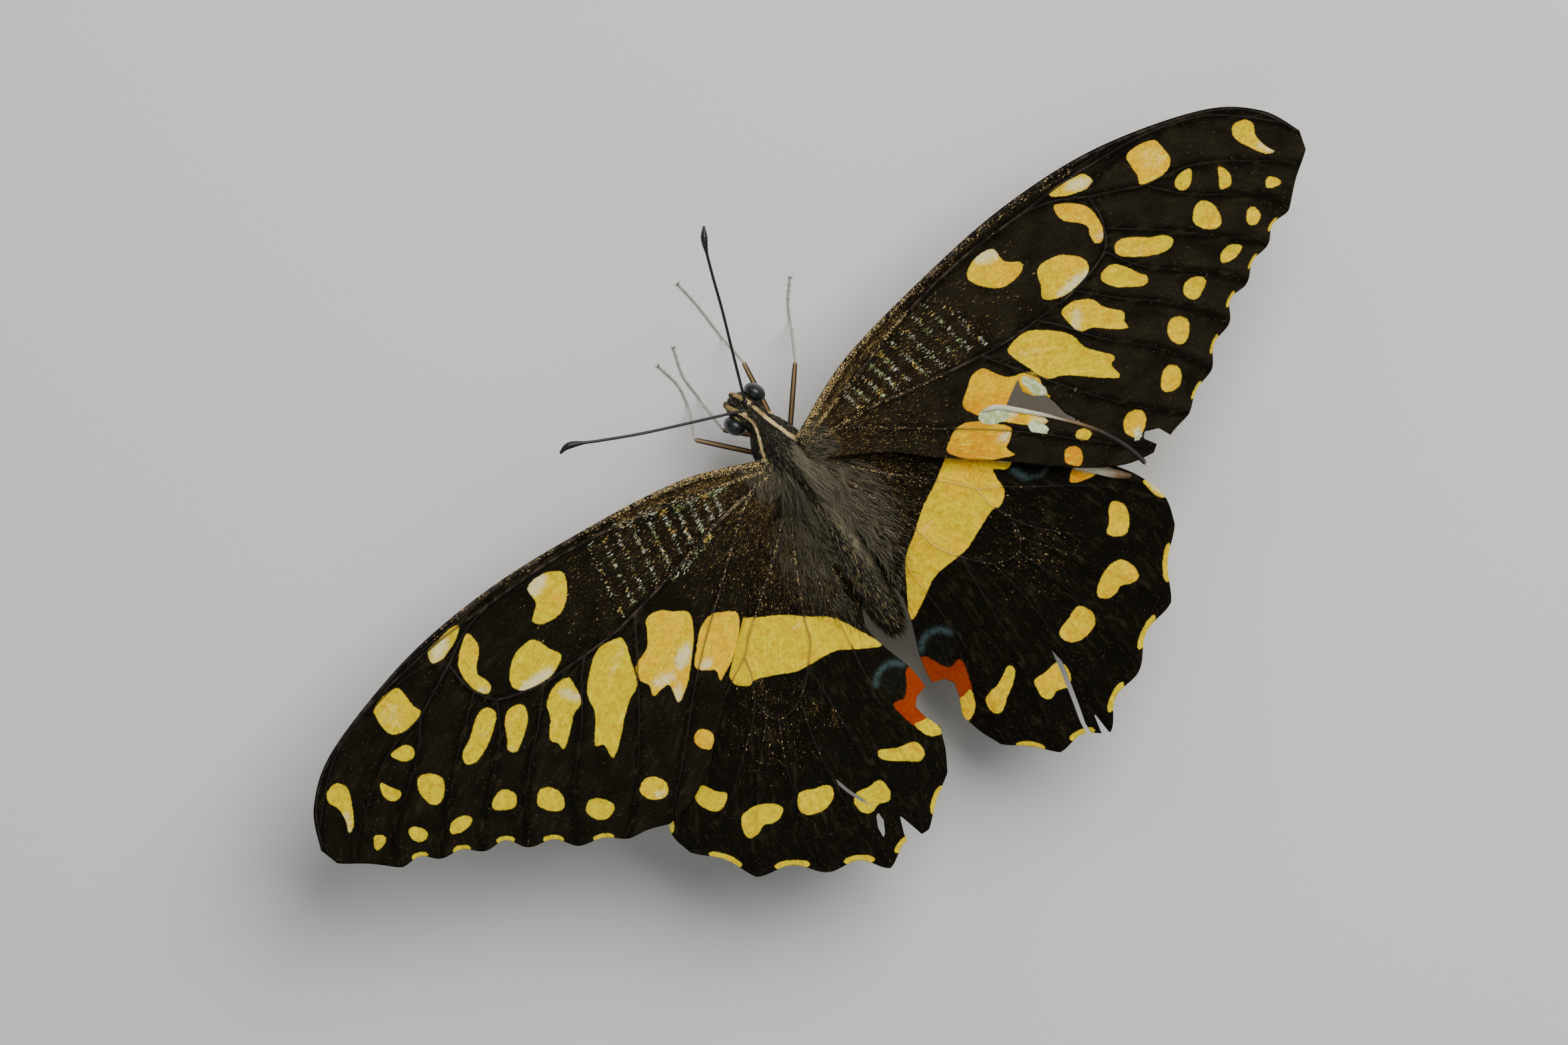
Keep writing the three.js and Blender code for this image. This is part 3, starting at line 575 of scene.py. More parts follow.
# %% Worn patches, dusty patches and rows of pale scales
WORN = {  # whitish wear inside the yellow
    "forewing": [(oval(36.9, 4.4, 2.6, 1.2, -20), 0.8), (oval(36.1, 5.85, 3.4, 0.5, -4), 1.0),
     (oval(31.4, -3, 3.6, 0.9, 4), 1.0), (oval(29.6, -5.9, 2.6, 1.2, 50), 0.6),
     (oval(43.9, 2.4, 3, 2.8, 0), 0.28), (oval(26.2, 3.7, 2.6, 1.5, -10), 0.75),
     (oval(36, -0.8, 1.2, 0.9, 0), 0.6), (oval(53.1, -2.7, 0.7, 1.9, 25), 0.7),
     (oval(19.2, -9.3, 2.4, 1.2, -30), 0.9), (oval(21.9, -9.9, 2.4, 1.2, 10), 0.7),
     (oval(21.6, -11.6, 1.6, 0.9, -40), 0.8), (oval(17.9, -11.1, 1.3, 0.9, 0), 0.8),
     (oval(24.3, -6, 4.2, 1, -25), 0.35), (oval(28.4, -17.7, 1.1, 0.7, 40), 0.7),
     (oval(38.2, -4, 0.9, 0.4, 30), 0.5), (oval(37, -6.5, 0.9, 0.7, 0), 0.4)],
    "hindwing": [(oval(17.2, -12.4, 2.2, 1.8, -30), 0.75), (oval(15.1, -10.6, 1, 0.7, 0), 0.5),
     (oval(7.3, -13.9, 1.2, 0.6, 0), 0.45), (oval(26.9, -23, 0.8, 2.2, 15), 0.7),
     (oval(22.9, -17.9, 2.6, 1, -40), 0.9)],
}
BARE = {  # see-through membrane, right forewing only
    "forewing": [(oval(18.3, -8.9, 3, 1.7, -25), 1.0), (oval(22.9, -8.8, 1.3, 3, 20), 0.8),
     (oval(21, -12.2, 1.3, 2.2, 35), 0.8), (oval(25.3, -11, 2.4, 3.6, 30), 0.34),
     (oval(28.2, -18, 1.6, 1, 20), 0.6)],
    "hindwing": [],
}
# Painted sheen: how much lighter brown is painted on the panels between the veins, most on the right
# forewing.
SHEEN_STRENGTH = {("forewing", RIGHT): 0.75, ("forewing", LEFT): 0.35,
        ("hindwing", RIGHT): 0.05, ("hindwing", LEFT): 0.05}
STRIAE_AT = [8, 9.1, 10.4, 11.8, 13.1, 14.7, 16.3, 17.9, 19.3, 20.7]
STRIA_WIDTH = 0.19
GREEN_EDGES = ([(7, 0.4), (10, 1.2), (13.5, 2.5), (17, 3.5)], [(10.6, -2.3), (13, -2.9), (15.5, -3.3)])
HIND_FLECKS = ([(9.2, -21.4), (9.8, -22.2)], [(8.2, -23.4), (8.6, -24.2)],
               [(12.4, -15), (13.4, -17.8), (12, -19.2)])


def stroke(points, line, width):
    """1 on a line, falling off smoothly to its sides: exp(-(distance / width)^2)."""
    return np.exp(-((to_line(points, np.asarray(line, float))[0] / width) ** 2))


def fading(points, middle, reach, top=1.0):
    """top at the middle, less by 1 for each reach further off, and held between 0 and 1."""
    return np.clip(top - np.hypot(*(points - middle).T) / reach, 0, 1)


def patches(points, ovals, soft=0.5):
    """The strongest of several ovals at each point, each fading out over a soft edge."""
    total = np.zeros(len(points))
    for loop, strength in ovals:
        total = np.maximum(total, strength * np.clip(0.5 - to_loop(points, loop) / (2 * soft), 0, 1))
    return total


def fore_rows(points):
    """The pale cross rows of the forewing's cell, which lean outward, fade towards the tip, and end
    at the cell's front and rear veins."""
    x, y = points.T
    row = np.zeros(len(points))
    for count, at in enumerate(STRIAE_AT):
        across = (x - at + 0.22 * (y - 0.4)) / STRIA_WIDTH
        row = np.maximum(row, np.exp(-(across**2)) * (1 - 0.055 * count))
    front = np.interp(x, [6, 10, 15, 20, 25], [0.6, 1.5, 3, 4.1, 4.8])
    rear = np.interp(x, [6, 10, 13, 18, 23], [-1.5, -1.9, -2.4, -3.2, -3.8])
    return row * np.clip((front - y - 0.25) / 0.3, 0, 1) * np.clip((y - rear - 0.2) / 0.3, 0, 1)


def fore_dust(points):
    """Gold scales: thick along two stripes behind the front edge, thin over the whole base."""
    x, y = points.T
    stripe = stroke(points, [(3.4, -0.6), (6, 0.6), (10, 2.1), (13, 3), (16.5, 3.7)], 0.4)
    front = stroke(points, [(3, 0.2), (5, 1.2), (8, 2.4), (14, 4), (22, 5.4), (30, 6.2), (37, 6)], 0.42)
    base = 0.5 * fading(points, (4, -2.4), 12, 1.1)
    cell = 0.22 * np.clip(1.1 - np.abs(x - 15) / 14, 0, 1) * (np.abs(y - 0.3) < 3.4)
    return np.maximum.reduce([1.3 * stripe, np.clip(1.5 - x / 18, 0.25, 1.3) * front, base, cell])


def hind_dust(points):
    """Gold scales of the hindwing: over its hairy base, and a thin drift beyond the band."""
    return np.maximum(0.5 * fading(points, (4, -7), 9, 1.15), 0.16 * fading(points, (14, -21), 6))


EYE_MARK, EYE_MARK_RADIUS = (1.8, -24), 1.75


def hind_blue(points):
    """Steel-blue scales: a crescent over the inner eye mark, a bloom within it, and two short
    strokes beyond the band."""
    a = np.radians(np.linspace(25, 150, 12))
    crescent = np.stack([EYE_MARK[0] + EYE_MARK_RADIUS * np.cos(a),
                         EYE_MARK[1] + EYE_MARK_RADIUS * np.sin(a)], -1)
    return np.maximum.reduce([
        stroke(points, crescent, 0.31), 0.04 * fading(points, EYE_MARK, 1, 1.9),
        0.9 * stroke(points, [(16.9, -14.2), (17.4, -15.3)], 0.33),
        0.5 * stroke(points, [(17.4, -15.4), (18.8, -16), (20.4, -15.4)], 0.22)])


def markings(kind, hand, drawn):
    """All that the wing's finish needs at each point, each as one number per point: signed distances to the
    yellow (spot) and the red, and how much of every other marking and of the painted sheen there is, from 0
    to 1."""
    spots = {name: to_loop(drawn, blob(loop)) for name, loop in SPOTS[kind].items()}
    if (kind, hand) == ("forewing", RIGHT):
        spots["torn"] = to_loop(drawn, oval(24.1, -15.1, 1.5, 1.1, -30))
    gaps = np.array(list(spots.values()))
    tones = np.array([TONES[kind].get(name, USUAL_TONE) for name in spots])
    margin = np.min([to_loop(drawn, loop) for loop in lunules(kind, hand)], axis=0)
    spot, none = gaps.min(0), np.zeros(len(drawn))
    # The left wings' tone is shifted towards lemon: painted shade.
    tone = np.where(margin < spot, LUNULE_TONE, tones[gaps.argmin(0)]) - (LEFT_SHADE_TONE if hand == LEFT else 0)
    # The last field below is the strength of the painted sheen between the veins.
    fields = {"spot": np.minimum(spot, margin), "worn": patches(drawn, WORN[kind]),
              "bare": patches(drawn, BARE[kind], 0.2) if hand == RIGHT else none,
              "sheen_between_veins": np.full(len(drawn), SHEEN_STRENGTH[kind, hand])}
    if kind == "forewing":
        edges = [stroke(drawn, line, 0.26) * (hand == LEFT) for line in GREEN_EDGES]
        return fields | {"tone": tone, "rows": np.maximum.reduce([fore_rows(drawn), *edges]),
                         "dust": fore_dust(drawn), "red": none + FAR, "blue": none}
    orange = 0.75 * np.clip((drawn[:, 0] - 11.6) / 1.4, 0, 1) * fading(drawn, (14.2, -9.8), 4)
    flecks = [0.5 * stroke(drawn, line, 0.4) * (hand == LEFT) for line in HIND_FLECKS]
    return fields | {"tone": np.clip(tone + orange * (spot < 0.5), 0, 1), "rows": none,
                     "dust": np.maximum.reduce([hind_dust(drawn), *flecks]),
                     "red": to_loop(drawn, blob(HIND_RED)), "blue": hind_blue(drawn)}


print("at the hinge:", {key: round(float(value[0]), 2)
                        for key, value in markings("forewing", RIGHT, np.array([[4.0, 0.0]])).items()})

# %% [markdown]
# ## Holes and tears
# The wings are those of an old butterfly: a hole is worn through the right forewing, its rear
# corner is ragged, and both hindwings are split between two rear veins. Each tear is a loop. The
# cells of the grid inside it are left out, and the points round it move onto its line.

# %% The tears, and cutting them out of a grid
TORNAL_BITE = [(-0.7, -26.2), (0.6, -26.6), (1.1, -27.4), (0.8, -28.6), (0.3, -29.7), (-0.1, -30.6),
               (-2, -29)]
TEARS = {
    ("forewing", RIGHT): [[(19.6, -8.9), (20.8, -8.1), (22, -7.4), (21.85, -7.9), (21.7, -8.6),
     (22.3, -9.5), (23.3, -10.1), (23.6, -11.2), (23.8, -12.5), (24.6, -14), (25, -14.7), (23.9, -13.3),
     (23.1, -12.3), (21.9, -11.1), (20.8, -10)], [(30.2, -18.6), (31.6, -21.6), (28.4, -22.6),
     (27.7, -20.7), (27.9, -20.1), (28.5, -20.2), (29.2, -19.7), (28.5, -18.6), (28.9, -18.1)]],
    ("forewing", LEFT): [],
    ("hindwing", RIGHT): [TORNAL_BITE, [(8.3, -40), (8.7, -37), (9.3, -34.6), (9.8, -32.4), (10.3, -30),
     (10.5, -31.4), (10, -33.6), (9.5, -35.6), (9, -37.4), (8.9, -40)], [(9.5, -40), (10.2, -36.9),
     (10.4, -40)]],
    ("hindwing", LEFT): [TORNAL_BITE, [(6, -39.5), (6.6, -37.6), (7.35, -35.5), (7.8, -37.2),
     (8.1, -39.5)], [(11, -28.8), (10.4, -30.5), (9.7, -32), (9, -33.6), (9.8, -32.4), (10.6, -30.8),
     (11.05, -29.6)], [(9, -34.1), (8.9, -35), (9.3, -36), (9.7, -36.6), (9.7, -35.3), (9.3, -34.2)]],
}


def grid_quads(rows, columns):
    """The cells of a grid whose points are numbered row by row."""
    i, j = np.meshgrid(np.arange(rows - 1), np.arange(columns - 1), indexing="ij")
    a = i * columns + j
    return np.stack([a, a + columns, a + columns + 1, a + 1], -1).reshape(-1, 4)


def tear(points, quads, loops):
    """Drops the quads whose middle is in a loop, and moves the points round them onto the loop."""
    for loop in loops:
        gone = inside(points[quads].mean(1), loop)
        edge = np.intersect1d(quads[gone], quads[~gone])
        _, points[edge] = to_line(points[edge], closed(loop))
        quads = quads[~gone]
    return points, quads


def open_edges(quads):
    """Edges that only one face uses: those whose reverse isn't some other face's edge."""
    edges = np.concatenate([quads[:, [k, (k + 1) % 4]] for k in range(4)])
    count = quads.max() + 1
    alone = ~np.isin(edges[:, 0] * count + edges[:, 1], edges[:, 1] * count + edges[:, 0])
    return edges[alone]


print(sum(len(loops) for loops in TEARS.values()), "tears")


# %% [markdown]
# ## Finishes: effects that several materials share
# Wing scales lie like roof tiles and rub off in specks, and hair is never one colour. These
# effects are shader node groups: each takes a few numbers and gives back a mask, a colour or a
# height, and every material uses them with its own values.

# %% Small helpers for node trees
COLOUR_A, COLOUR_B, COLOUR_OUT = 6, 7, 2  # the Mix node's sockets for colours


def feed(tree, socket, value):
    """Gives an input a number, a colour, or another node's output."""
    if isinstance(value, bpy.types.NodeSocket):
        tree.links.new(value, socket)
    else:
        socket.default_value = (*value, 1) if socket.type == "RGBA" else value


def node(tree, kind, inputs=None, **settings):
    """Adds a node, sets its settings and feeds its inputs."""
    made = tree.nodes.new(kind)
    for key, value in settings.items():
        setattr(made, key, value)
    for key, value in (inputs or {}).items():
        feed(tree, made.inputs[key], value)
    return made


def calc(tree, operation, *values):
    """Arithmetic on one or two values."""
    return node(tree, "ShaderNodeMath", dict(enumerate(values)), operation=operation).outputs[0]


def times(tree, first, second):
    return calc(tree, "MULTIPLY", first, second)


def swayed(tree, value, by, amount, middle=0.5):
    """value + (by - middle) * amount: noise makes a value sway, so a ramp across it has a broken edge."""
    return calc(tree, "ADD", value, times(tree, calc(tree, "SUBTRACT", by, middle), amount))


def blend(tree, share, first, second, mode="MIX"):
    """A mix of two colours by a share."""
    inputs = {"Factor": share, COLOUR_A: first, COLOUR_B: second}
    return node(tree, "ShaderNodeMix", inputs, data_type="RGBA", blend_type=mode).outputs[COLOUR_OUT]


def ramp(tree, value, start, end, low=0.0, high=1.0):
    """low before start, high after end, and smooth between."""
    inputs = {"Value": value, "From Min": start, "From Max": end, "To Min": low, "To Max": high}
    return node(tree, "ShaderNodeMapRange", inputs, interpolation_type="SMOOTHSTEP").outputs["Result"]


def field(tree, name):
    """What the mesh carries under that name."""
    return node(tree, "ShaderNodeAttribute", attribute_name=name).outputs["Fac"]


def own_place(tree):
    """The place on the object, in its own space."""
    return node(tree, "ShaderNodeTexCoord").outputs["Object"]


def noise(tree, size_mm, detail=2.0, where=None, stretch=None):
    """Noise whose lumps are about size_mm across, in the object's own space."""
    where = own_place(tree) if where is None else where
    if stretch:
        where = node(tree, "ShaderNodeMapping", {"Vector": where, "Scale": stretch}).outputs["Vector"]
    inputs = {"Vector": where, "Scale": 1 / (size_mm * MM), "Detail": detail, "Roughness": 0.6}
    return node(tree, "ShaderNodeTexNoise", inputs).outputs["Fac"]


def group(name, inputs, outputs):
    """An empty node group with named inputs and outputs; an input whose default is None is a place."""
    tree = bpy.data.node_groups.new(name, "ShaderNodeTree")
    for label, default in inputs.items():
        kind = "NodeSocketVector" if default is None else "NodeSocketFloat"
        socket = tree.interface.new_socket(label, in_out="INPUT", socket_type=kind)
        if default is not None:
            socket.default_value = default
    for label, kind in outputs.items():
        tree.interface.new_socket(label, in_out="OUTPUT", socket_type=kind)
    return tree, tree.nodes.new("NodeGroupInput").outputs, tree.nodes.new("NodeGroupOutput").inputs


def use(tree, shared, **inputs):
    """Places a shared effect in a material with its own values."""
    made = tree.nodes.new("ShaderNodeGroup")
    made.node_tree = shared
    for key, value in inputs.items():
        feed(tree, made.inputs[key], value)
    return made.outputs


print("noise lumps of 1 mm have a scale of", 1 / MM)


# %% The shared effects
def ragged_edge():
    """A mask that is 1 where a signed distance is below 0, with its edge frayed by noise."""
    inputs = {"Distance": 0, "Fray": 0.2, "Soft": 0.05}
    tree, given, out = group("ragged_edge", inputs, {"Mask": "NodeSocketFloat"})
    coarse = calc(tree, "SUBTRACT", noise(tree, 0.55), 0.5)
    shake = times(tree, swayed(tree, coarse, noise(tree, 0.13, 1), 0.8), given["Fray"])
    edge = calc(tree, "DIVIDE", calc(tree, "ADD", given["Distance"], shake), given["Soft"])
    tree.links.new(ramp(tree, edge, -1, 1, 1, 0), out["Mask"])
    return tree


def flecks():
    """Loose single scales: dots in cells of a size, in as large a share of them as the density says.
    Own is each dot's own random number, for its brightness."""
    inputs = {"Where": None, "Density": 0.3, "Size": 0.12, "Dot": 0.34}
    tree, given, out = group("loose_scales", inputs, {"Mask": "NodeSocketFloat", "Own": "NodeSocketFloat"})
    scale = calc(tree, "DIVIDE", 1 / MM, given["Size"])
    cells = node(tree, "ShaderNodeTexVoronoi", {"Vector": given["Where"], "Scale": scale, "Randomness": 0.95})
    pick = node(tree, "ShaderNodeSeparateColor", {"Color": cells.outputs["Color"]})
    chosen = calc(tree, "LESS_THAN", pick.outputs[0], given["Density"])
    reach = times(tree, given["Dot"], calc(tree, "ADD", times(tree, pick.outputs[2], 0.7), 0.55))
    dot = ramp(tree, cells.outputs["Distance"], reach, calc(tree, "ADD", reach, 0.1), 1, 0)
    tree.links.new(times(tree, chosen, dot), out["Mask"])
    tree.links.new(pick.outputs[1], out["Own"])
    return tree


def scale_rows():
    """The tiling of the wing scales: a fine grain that darkens and lifts the surface a little."""
    outputs = {"Shade": "NodeSocketFloat", "Height": "NodeSocketFloat"}
    tree, given, out = group("scale_rows", {"Size": 0.09}, outputs)
    scale = calc(tree, "DIVIDE", 1 / MM, given["Size"])
    cells = node(tree, "ShaderNodeTexVoronoi", {"Vector": own_place(tree), "Scale": scale, "Randomness": 0.7})
    pick = node(tree, "ShaderNodeSeparateColor", {"Color": cells.outputs["Color"]}).outputs[1]
    tree.links.new(calc(tree, "ADD", times(tree, pick, 0.5), noise(tree, 0.3)), out["Shade"])
    tree.links.new(calc(tree, "SUBTRACT", 1.0, cells.outputs["Distance"]), out["Height"])
    return tree


RAGGED, LOOSE, SCALES = ragged_edge(), flecks(), scale_rows()
print("shared effects:", [tree.name for tree in (RAGGED, LOOSE, SCALES)])


# %% Start a material
def material(name, rough, specular, **constants):
    """A material with one Principled BSDF, whose plain numbers are set on its own sockets."""
    made = bpy.data.materials.new(name)
    made.use_nodes = True
    tree = made.node_tree
    shader = tree.nodes["Principled BSDF"]
    shader.inputs["Roughness"].default_value = rough
    shader.inputs["Specular IOR Level"].default_value = specular
    for key, value in constants.items():
        shader.inputs[key.replace("_", " ")].default_value = value
    return made, tree, shader


def surface(tree, shader, colour, height=None, depth_mm=0.02, strength=1.0):
    """Feeds a colour to the shader, and a height to its normal as a bump of that many millimetres."""
    feed(tree, shader.inputs["Base Color"], colour)
    if height is not None:
        inputs = {"Height": height, "Distance": depth_mm * MM, "Strength": strength}
        feed(tree, shader.inputs["Normal"], node(tree, "ShaderNodeBump", inputs).outputs[0])


print("shared helpers are ready:", material.__name__, "and", surface.__name__)


# %% [markdown]
# ## The finish of the wings
# One material serves all four wings. The signed distances that the mesh carries become frayed
# masks, and colours are laid over each other as on the animal: brown-black ground, gold dust,
# pale rows, red and blue of the eye marks, then the yellow with its orange tint and its wear.

# %% Colours of the wing
# The lighter ground colour serves both rubbed streaks and a painted sheen beside the veins.
GROUND, GROUND_WEAR_AND_SHEEN = (0.0036, 0.0029, 0.0010), (0.026, 0.021, 0.009)
# Painted sheen: the lighter brown laid on the panels between the veins.
SHEEN_BROWN = (0.020, 0.0155, 0.0085)
LEMON, YELLOW, ORANGE = (0.78, 0.61, 0.0), (0.98, 0.58, 0.0), (0.84, 0.32, 0.0)
DEEP, PALE_YELLOW, CHALK = (0.58, 0.30, 0.0), (0.98, 0.78, 0.02), (0.90, 0.80, 0.42)
GOLD, DULL_GOLD = (0.70, 0.48, 0.15), (0.15, 0.088, 0.030)
BROWN_DUST, STRAY_SCALE = (0.03, 0.018, 0.008), (0.10, 0.07, 0.045)
CREAM, LEAF_GREEN, AMBER = (0.74, 0.78, 0.58), (0.34, 0.46, 0.17), (0.88, 0.56, 0.10)
RED, BRICK, STEEL = (0.26, 0.016, 0.001), (0.38, 0.06, 0.003), (0.044, 0.074, 0.074)
GLASSY, MILKY = (0.46, 0.56, 0.24), (0.82, 0.86, 0.56)
UNDER_BROWNS = (0.05, 0.037, 0.025), (0.13, 0.10, 0.065)
UNDER_YELLOWS = (0.62, 0.50, 0.22), (0.66, 0.42, 0.10)
VEIN_HORN = (0.004, 0.003, 0.0022), (0.014, 0.010, 0.007)
# The first of these is a painted highlight for the thick veins.
VEIN_HIGHLIGHT, VEIN_OCHRE = (0.12, 0.085, 0.060), (0.80, 0.52, 0.06)
print("the ground reflects", round(sum(GROUND) / 3, 4), "and the yellow", round(sum(YELLOW) / 3, 2))


# %% Ground, gold dust and pale rows
def ground_colour(tree, along, mottle):
    """Brown-black with lighter worn streaks along the veins, a painted sheen beside the veins and on the
    panels between them, gold dust, and the pale rows of the cell.
    """
    vein = field(tree, "vein")
    streaks = ramp(tree, noise(tree, 1.0, 4, along, (0.45, 1.5, 1)), 0.45, 0.78)
    worn = times(tree, streaks, ramp(tree, mottle, 0.4, 0.62, 0.12, 1.0))
    # Painted sheen: the ground is lightened beside the veins, where the streaks run.
    beside = times(tree, ramp(tree, vein, 0.1, 0.75, 0.75, 0), ramp(tree, streaks, 0.1, 0.6))
    # Painted sheen: the panels between the veins are lightened to brown, as strongly as the wing's share
    # says.
    sheen_share = times(tree, ramp(tree, vein, 0.12, 0.8), ramp(tree, mottle, 0.3, 0.6, 0.35, 1))
    colour = blend(tree, times(tree, sheen_share, field(tree, "sheen_between_veins")), GROUND, SHEEN_BROWN)
    colour = blend(tree, calc(tree, "MAXIMUM", worn, beside), colour, GROUND_WEAR_AND_SHEEN)
    fleck = node(tree, "ShaderNodeMapping", {"Vector": along, "Scale": (0.42, 1, 1)}).outputs["Vector"]
    stray = use(tree, LOOSE, Where=fleck, Density=0.10, Size=0.09, Dot=0.3)
    colour = blend(tree, times(tree, stray["Mask"], stray["Own"]), colour, STRAY_SCALE)
    dust = times(tree, field(tree, "dust"), ramp(tree, noise(tree, 0.9), 0.3, 0.65, 0.35, 1.25))
    fine = use(tree, LOOSE, Where=fleck, Density=dust, Size=0.075, Dot=0.42)
    colour = blend(tree, fine["Mask"], colour, blend(tree, fine["Own"], BROWN_DUST, DULL_GOLD))
    coarse = use(tree, LOOSE, Where=fleck, Density=times(tree, dust, 0.5), Size=0.12, Dot=0.4)
    tint = blend(tree, calc(tree, "POWER", coarse["Own"], 2.0), DULL_GOLD, GOLD)
    colour = blend(tree, coarse["Mask"], colour, tint)
    rows = times(tree, field(tree, "rows"), ramp(tree, noise(tree, 0.7), 0.3, 0.6, 0.35, 1.0))
    pale = use(tree, LOOSE, Where=fleck, Density=rows, Size=0.17, Dot=0.52)
    tint = blend(tree, ramp(tree, noise(tree, 1.6), 0.46, 0.62), CREAM, LEAF_GREEN)
    tint = blend(tree, ramp(tree, noise(tree, 1.1, 1), 0.55, 0.62), tint, AMBER)
    return blend(tree, times(tree, pale["Mask"], ramp(tree, pale["Own"], 0, 0.7, 0.4, 1)), colour, tint)


print("dull gold is", round(sum(DULL_GOLD) / sum(GOLD), 2), "as bright as gold")


# %% Yellow spots, and the wing's whole finish
def yellow_colour(tree, along, mottle, shade):
    """Lemon to orange by tone, streaked along the veins, deeper beside them, and chalky where worn."""
    worn = field(tree, "worn")
    streaks = noise(tree, 1.3, 3, along, (0.4, 2.6, 1))
    tone = swayed(tree, swayed(tree, field(tree, "tone"), mottle, 1.5), streaks, 1.1)
    colour = blend(tree, ramp(tree, tone, 0.0, 0.42), LEMON, YELLOW)
    colour = blend(tree, ramp(tree, tone, 0.45, 1.0), colour, ORANGE)
    colour = blend(tree, ramp(tree, field(tree, "vein"), 0.06, 0.34, 0.55, 0), colour, DEEP)
    colour = blend(tree, times(tree, ramp(tree, streaks, 0.5, 0.68), 0.8), colour, PALE_YELLOW)
    colour = blend(tree, ramp(tree, noise(tree, 0.6, 4), 0.34, 0.6, 0.5, 0), colour, DEEP)
    colour = blend(tree, times(tree, ramp(tree, shade, 0.35, 0.7, 1, 0), 0.22), colour, DEEP)
    wear = ramp(tree, swayed(tree, worn, noise(tree, 0.4), 0.9), 0.15, 0.85, 0, 0.9)
    return blend(tree, times(tree, wear, ramp(tree, worn, 0.02, 0.3)), colour, CHALK)


def wing_material():
    """The layers from the ground up, then the underside, all shaded by the tiling of the scales."""
    made, tree, shader = material("wing_scales", 0.75, 0.05)
    scales = use(tree, SCALES, Size=0.085)
    along = node(tree, "ShaderNodeUVMap", uv_map="Lie").outputs[0]
    mottle = noise(tree, 2.6, 3)
    colour = ground_colour(tree, along, mottle)
    blue = times(tree, field(tree, "blue"), ramp(tree, scales["Shade"], 0.3, 0.8))
    colour = blend(tree, calc(tree, "MINIMUM", blue, 1), colour, STEEL)
    red = use(tree, RAGGED, Distance=field(tree, "red"), Fray=0.25, Soft=0.1)["Mask"]
    colour = blend(tree, red, colour, blend(tree, noise(tree, 1.2), RED, BRICK))
    spot = use(tree, RAGGED, Distance=field(tree, "spot"), Fray=0.16, Soft=0.05)["Mask"]
    colour = blend(tree, spot, colour, yellow_colour(tree, along, mottle, scales["Shade"]))
    bare = ramp(tree, swayed(tree, field(tree, "bare"), noise(tree, 0.5), 0.8), 0.45, 0.6)
    glass = blend(tree, ramp(tree, noise(tree, 0.7, 3), 0.42, 0.62), GLASSY, MILKY)
    colour = blend(tree, times(tree, bare, ramp(tree, field(tree, "bare"), 0.02, 0.2)), colour, glass)
    under_ground = blend(tree, ramp(tree, mottle, 0.35, 0.7), *UNDER_BROWNS)
    wider = calc(tree, "SUBTRACT", field(tree, "spot"), 0.25)
    wider = use(tree, RAGGED, Distance=wider, Fray=0.3, Soft=0.12)["Mask"]
    below = blend(tree, wider, under_ground, blend(tree, mottle, *UNDER_YELLOWS))
    colour = blend(tree, field(tree, "under"), colour, below)
    shade = swayed(tree, 1.0, scales["Shade"], 0.35, middle=0.75)
    grey = node(tree, "ShaderNodeCombineColor", {0: shade, 1: shade, 2: shade}).outputs[0]
    surface(tree, shader, blend(tree, 1.0, colour, grey, "MULTIPLY"), scales["Height"], 0.02, 0.6)
    return made


WING = wing_material()
print(WING.name, "has", len(WING.node_tree.nodes), "nodes")


# %% The finish of the veins
def vein_material():
    """Dark horn with a dull gloss and a painted highlight along its thick parts, dusted with scales, and
    ochre where it crosses a yellow field.
    """
    made, tree, shader = material("wing_veins", 0.6, 0.15)
    colour = blend(tree, noise(tree, 0.8), *VEIN_HORN)
    # Painted highlight: lighter brown streaks along the thick veins.
    painted_highlight = times(tree, ramp(tree, noise(tree, 1.4, 3), 0.42, 0.66), field(tree, "thick"))
    colour = blend(tree, painted_highlight, colour, VEIN_HIGHLIGHT)
    dust = use(tree, LOOSE, Where=own_place(tree), Density=field(tree, "dust"), Size=0.11, Dot=0.46)["Mask"]
    colour = blend(tree, dust, colour, GOLD)
    crossing = ramp(tree, field(tree, "spot"), 0.1, -0.25)
    colour = blend(tree, times(tree, crossing, field(tree, "pale")), colour, VEIN_OCHRE)
    surface(tree, shader, colour, noise(tree, 0.12), 0.012, 0.6)
    return made


VEIN = vein_material()
print(VEIN.name, "has", len(VEIN.node_tree.nodes), "nodes")

# %% [markdown]
# ## Building the four wings
# Each wing is the grid, lifted by its height and its flutes, with a top face, an under face and a
# rim that joins them, so it is one thin closed shell. Its veins are tubes half sunk in it.

# %% Membranes
GRIDS = {"forewing": (252, 150), "hindwing": (206, 176)}
MEMBRANE = 0.13  # thickness, from scales to scales
LIE_SIZE = (0.05, 0.035)  # about the length and the breadth of a wing, in metres


def shell(middle, quads, thickness):
    """A closed thin sheet: top and under faces half a thickness from the middle, and a rim round it."""
    count, rim = len(middle), open_edges(quads)
    half = np.array([0, 0, thickness / 2])
    walls = np.stack([rim[:, 1], rim[:, 0], rim[:, 0] + count, rim[:, 1] + count], -1)
    return np.vstack([middle + half, middle - half]), [quads, quads[:, ::-1] + count, walls]


def lie_map(rows, columns, length, breadth):
    """A shell's place along its rows and across them, in metres, the same above and below."""
    along, across = np.meshgrid(np.linspace(0, 1, rows), np.linspace(0, 1, columns), indexing="ij")
    return np.tile(np.stack([along.ravel(), across.ravel()], -1) * [length, breadth], (2, 1))


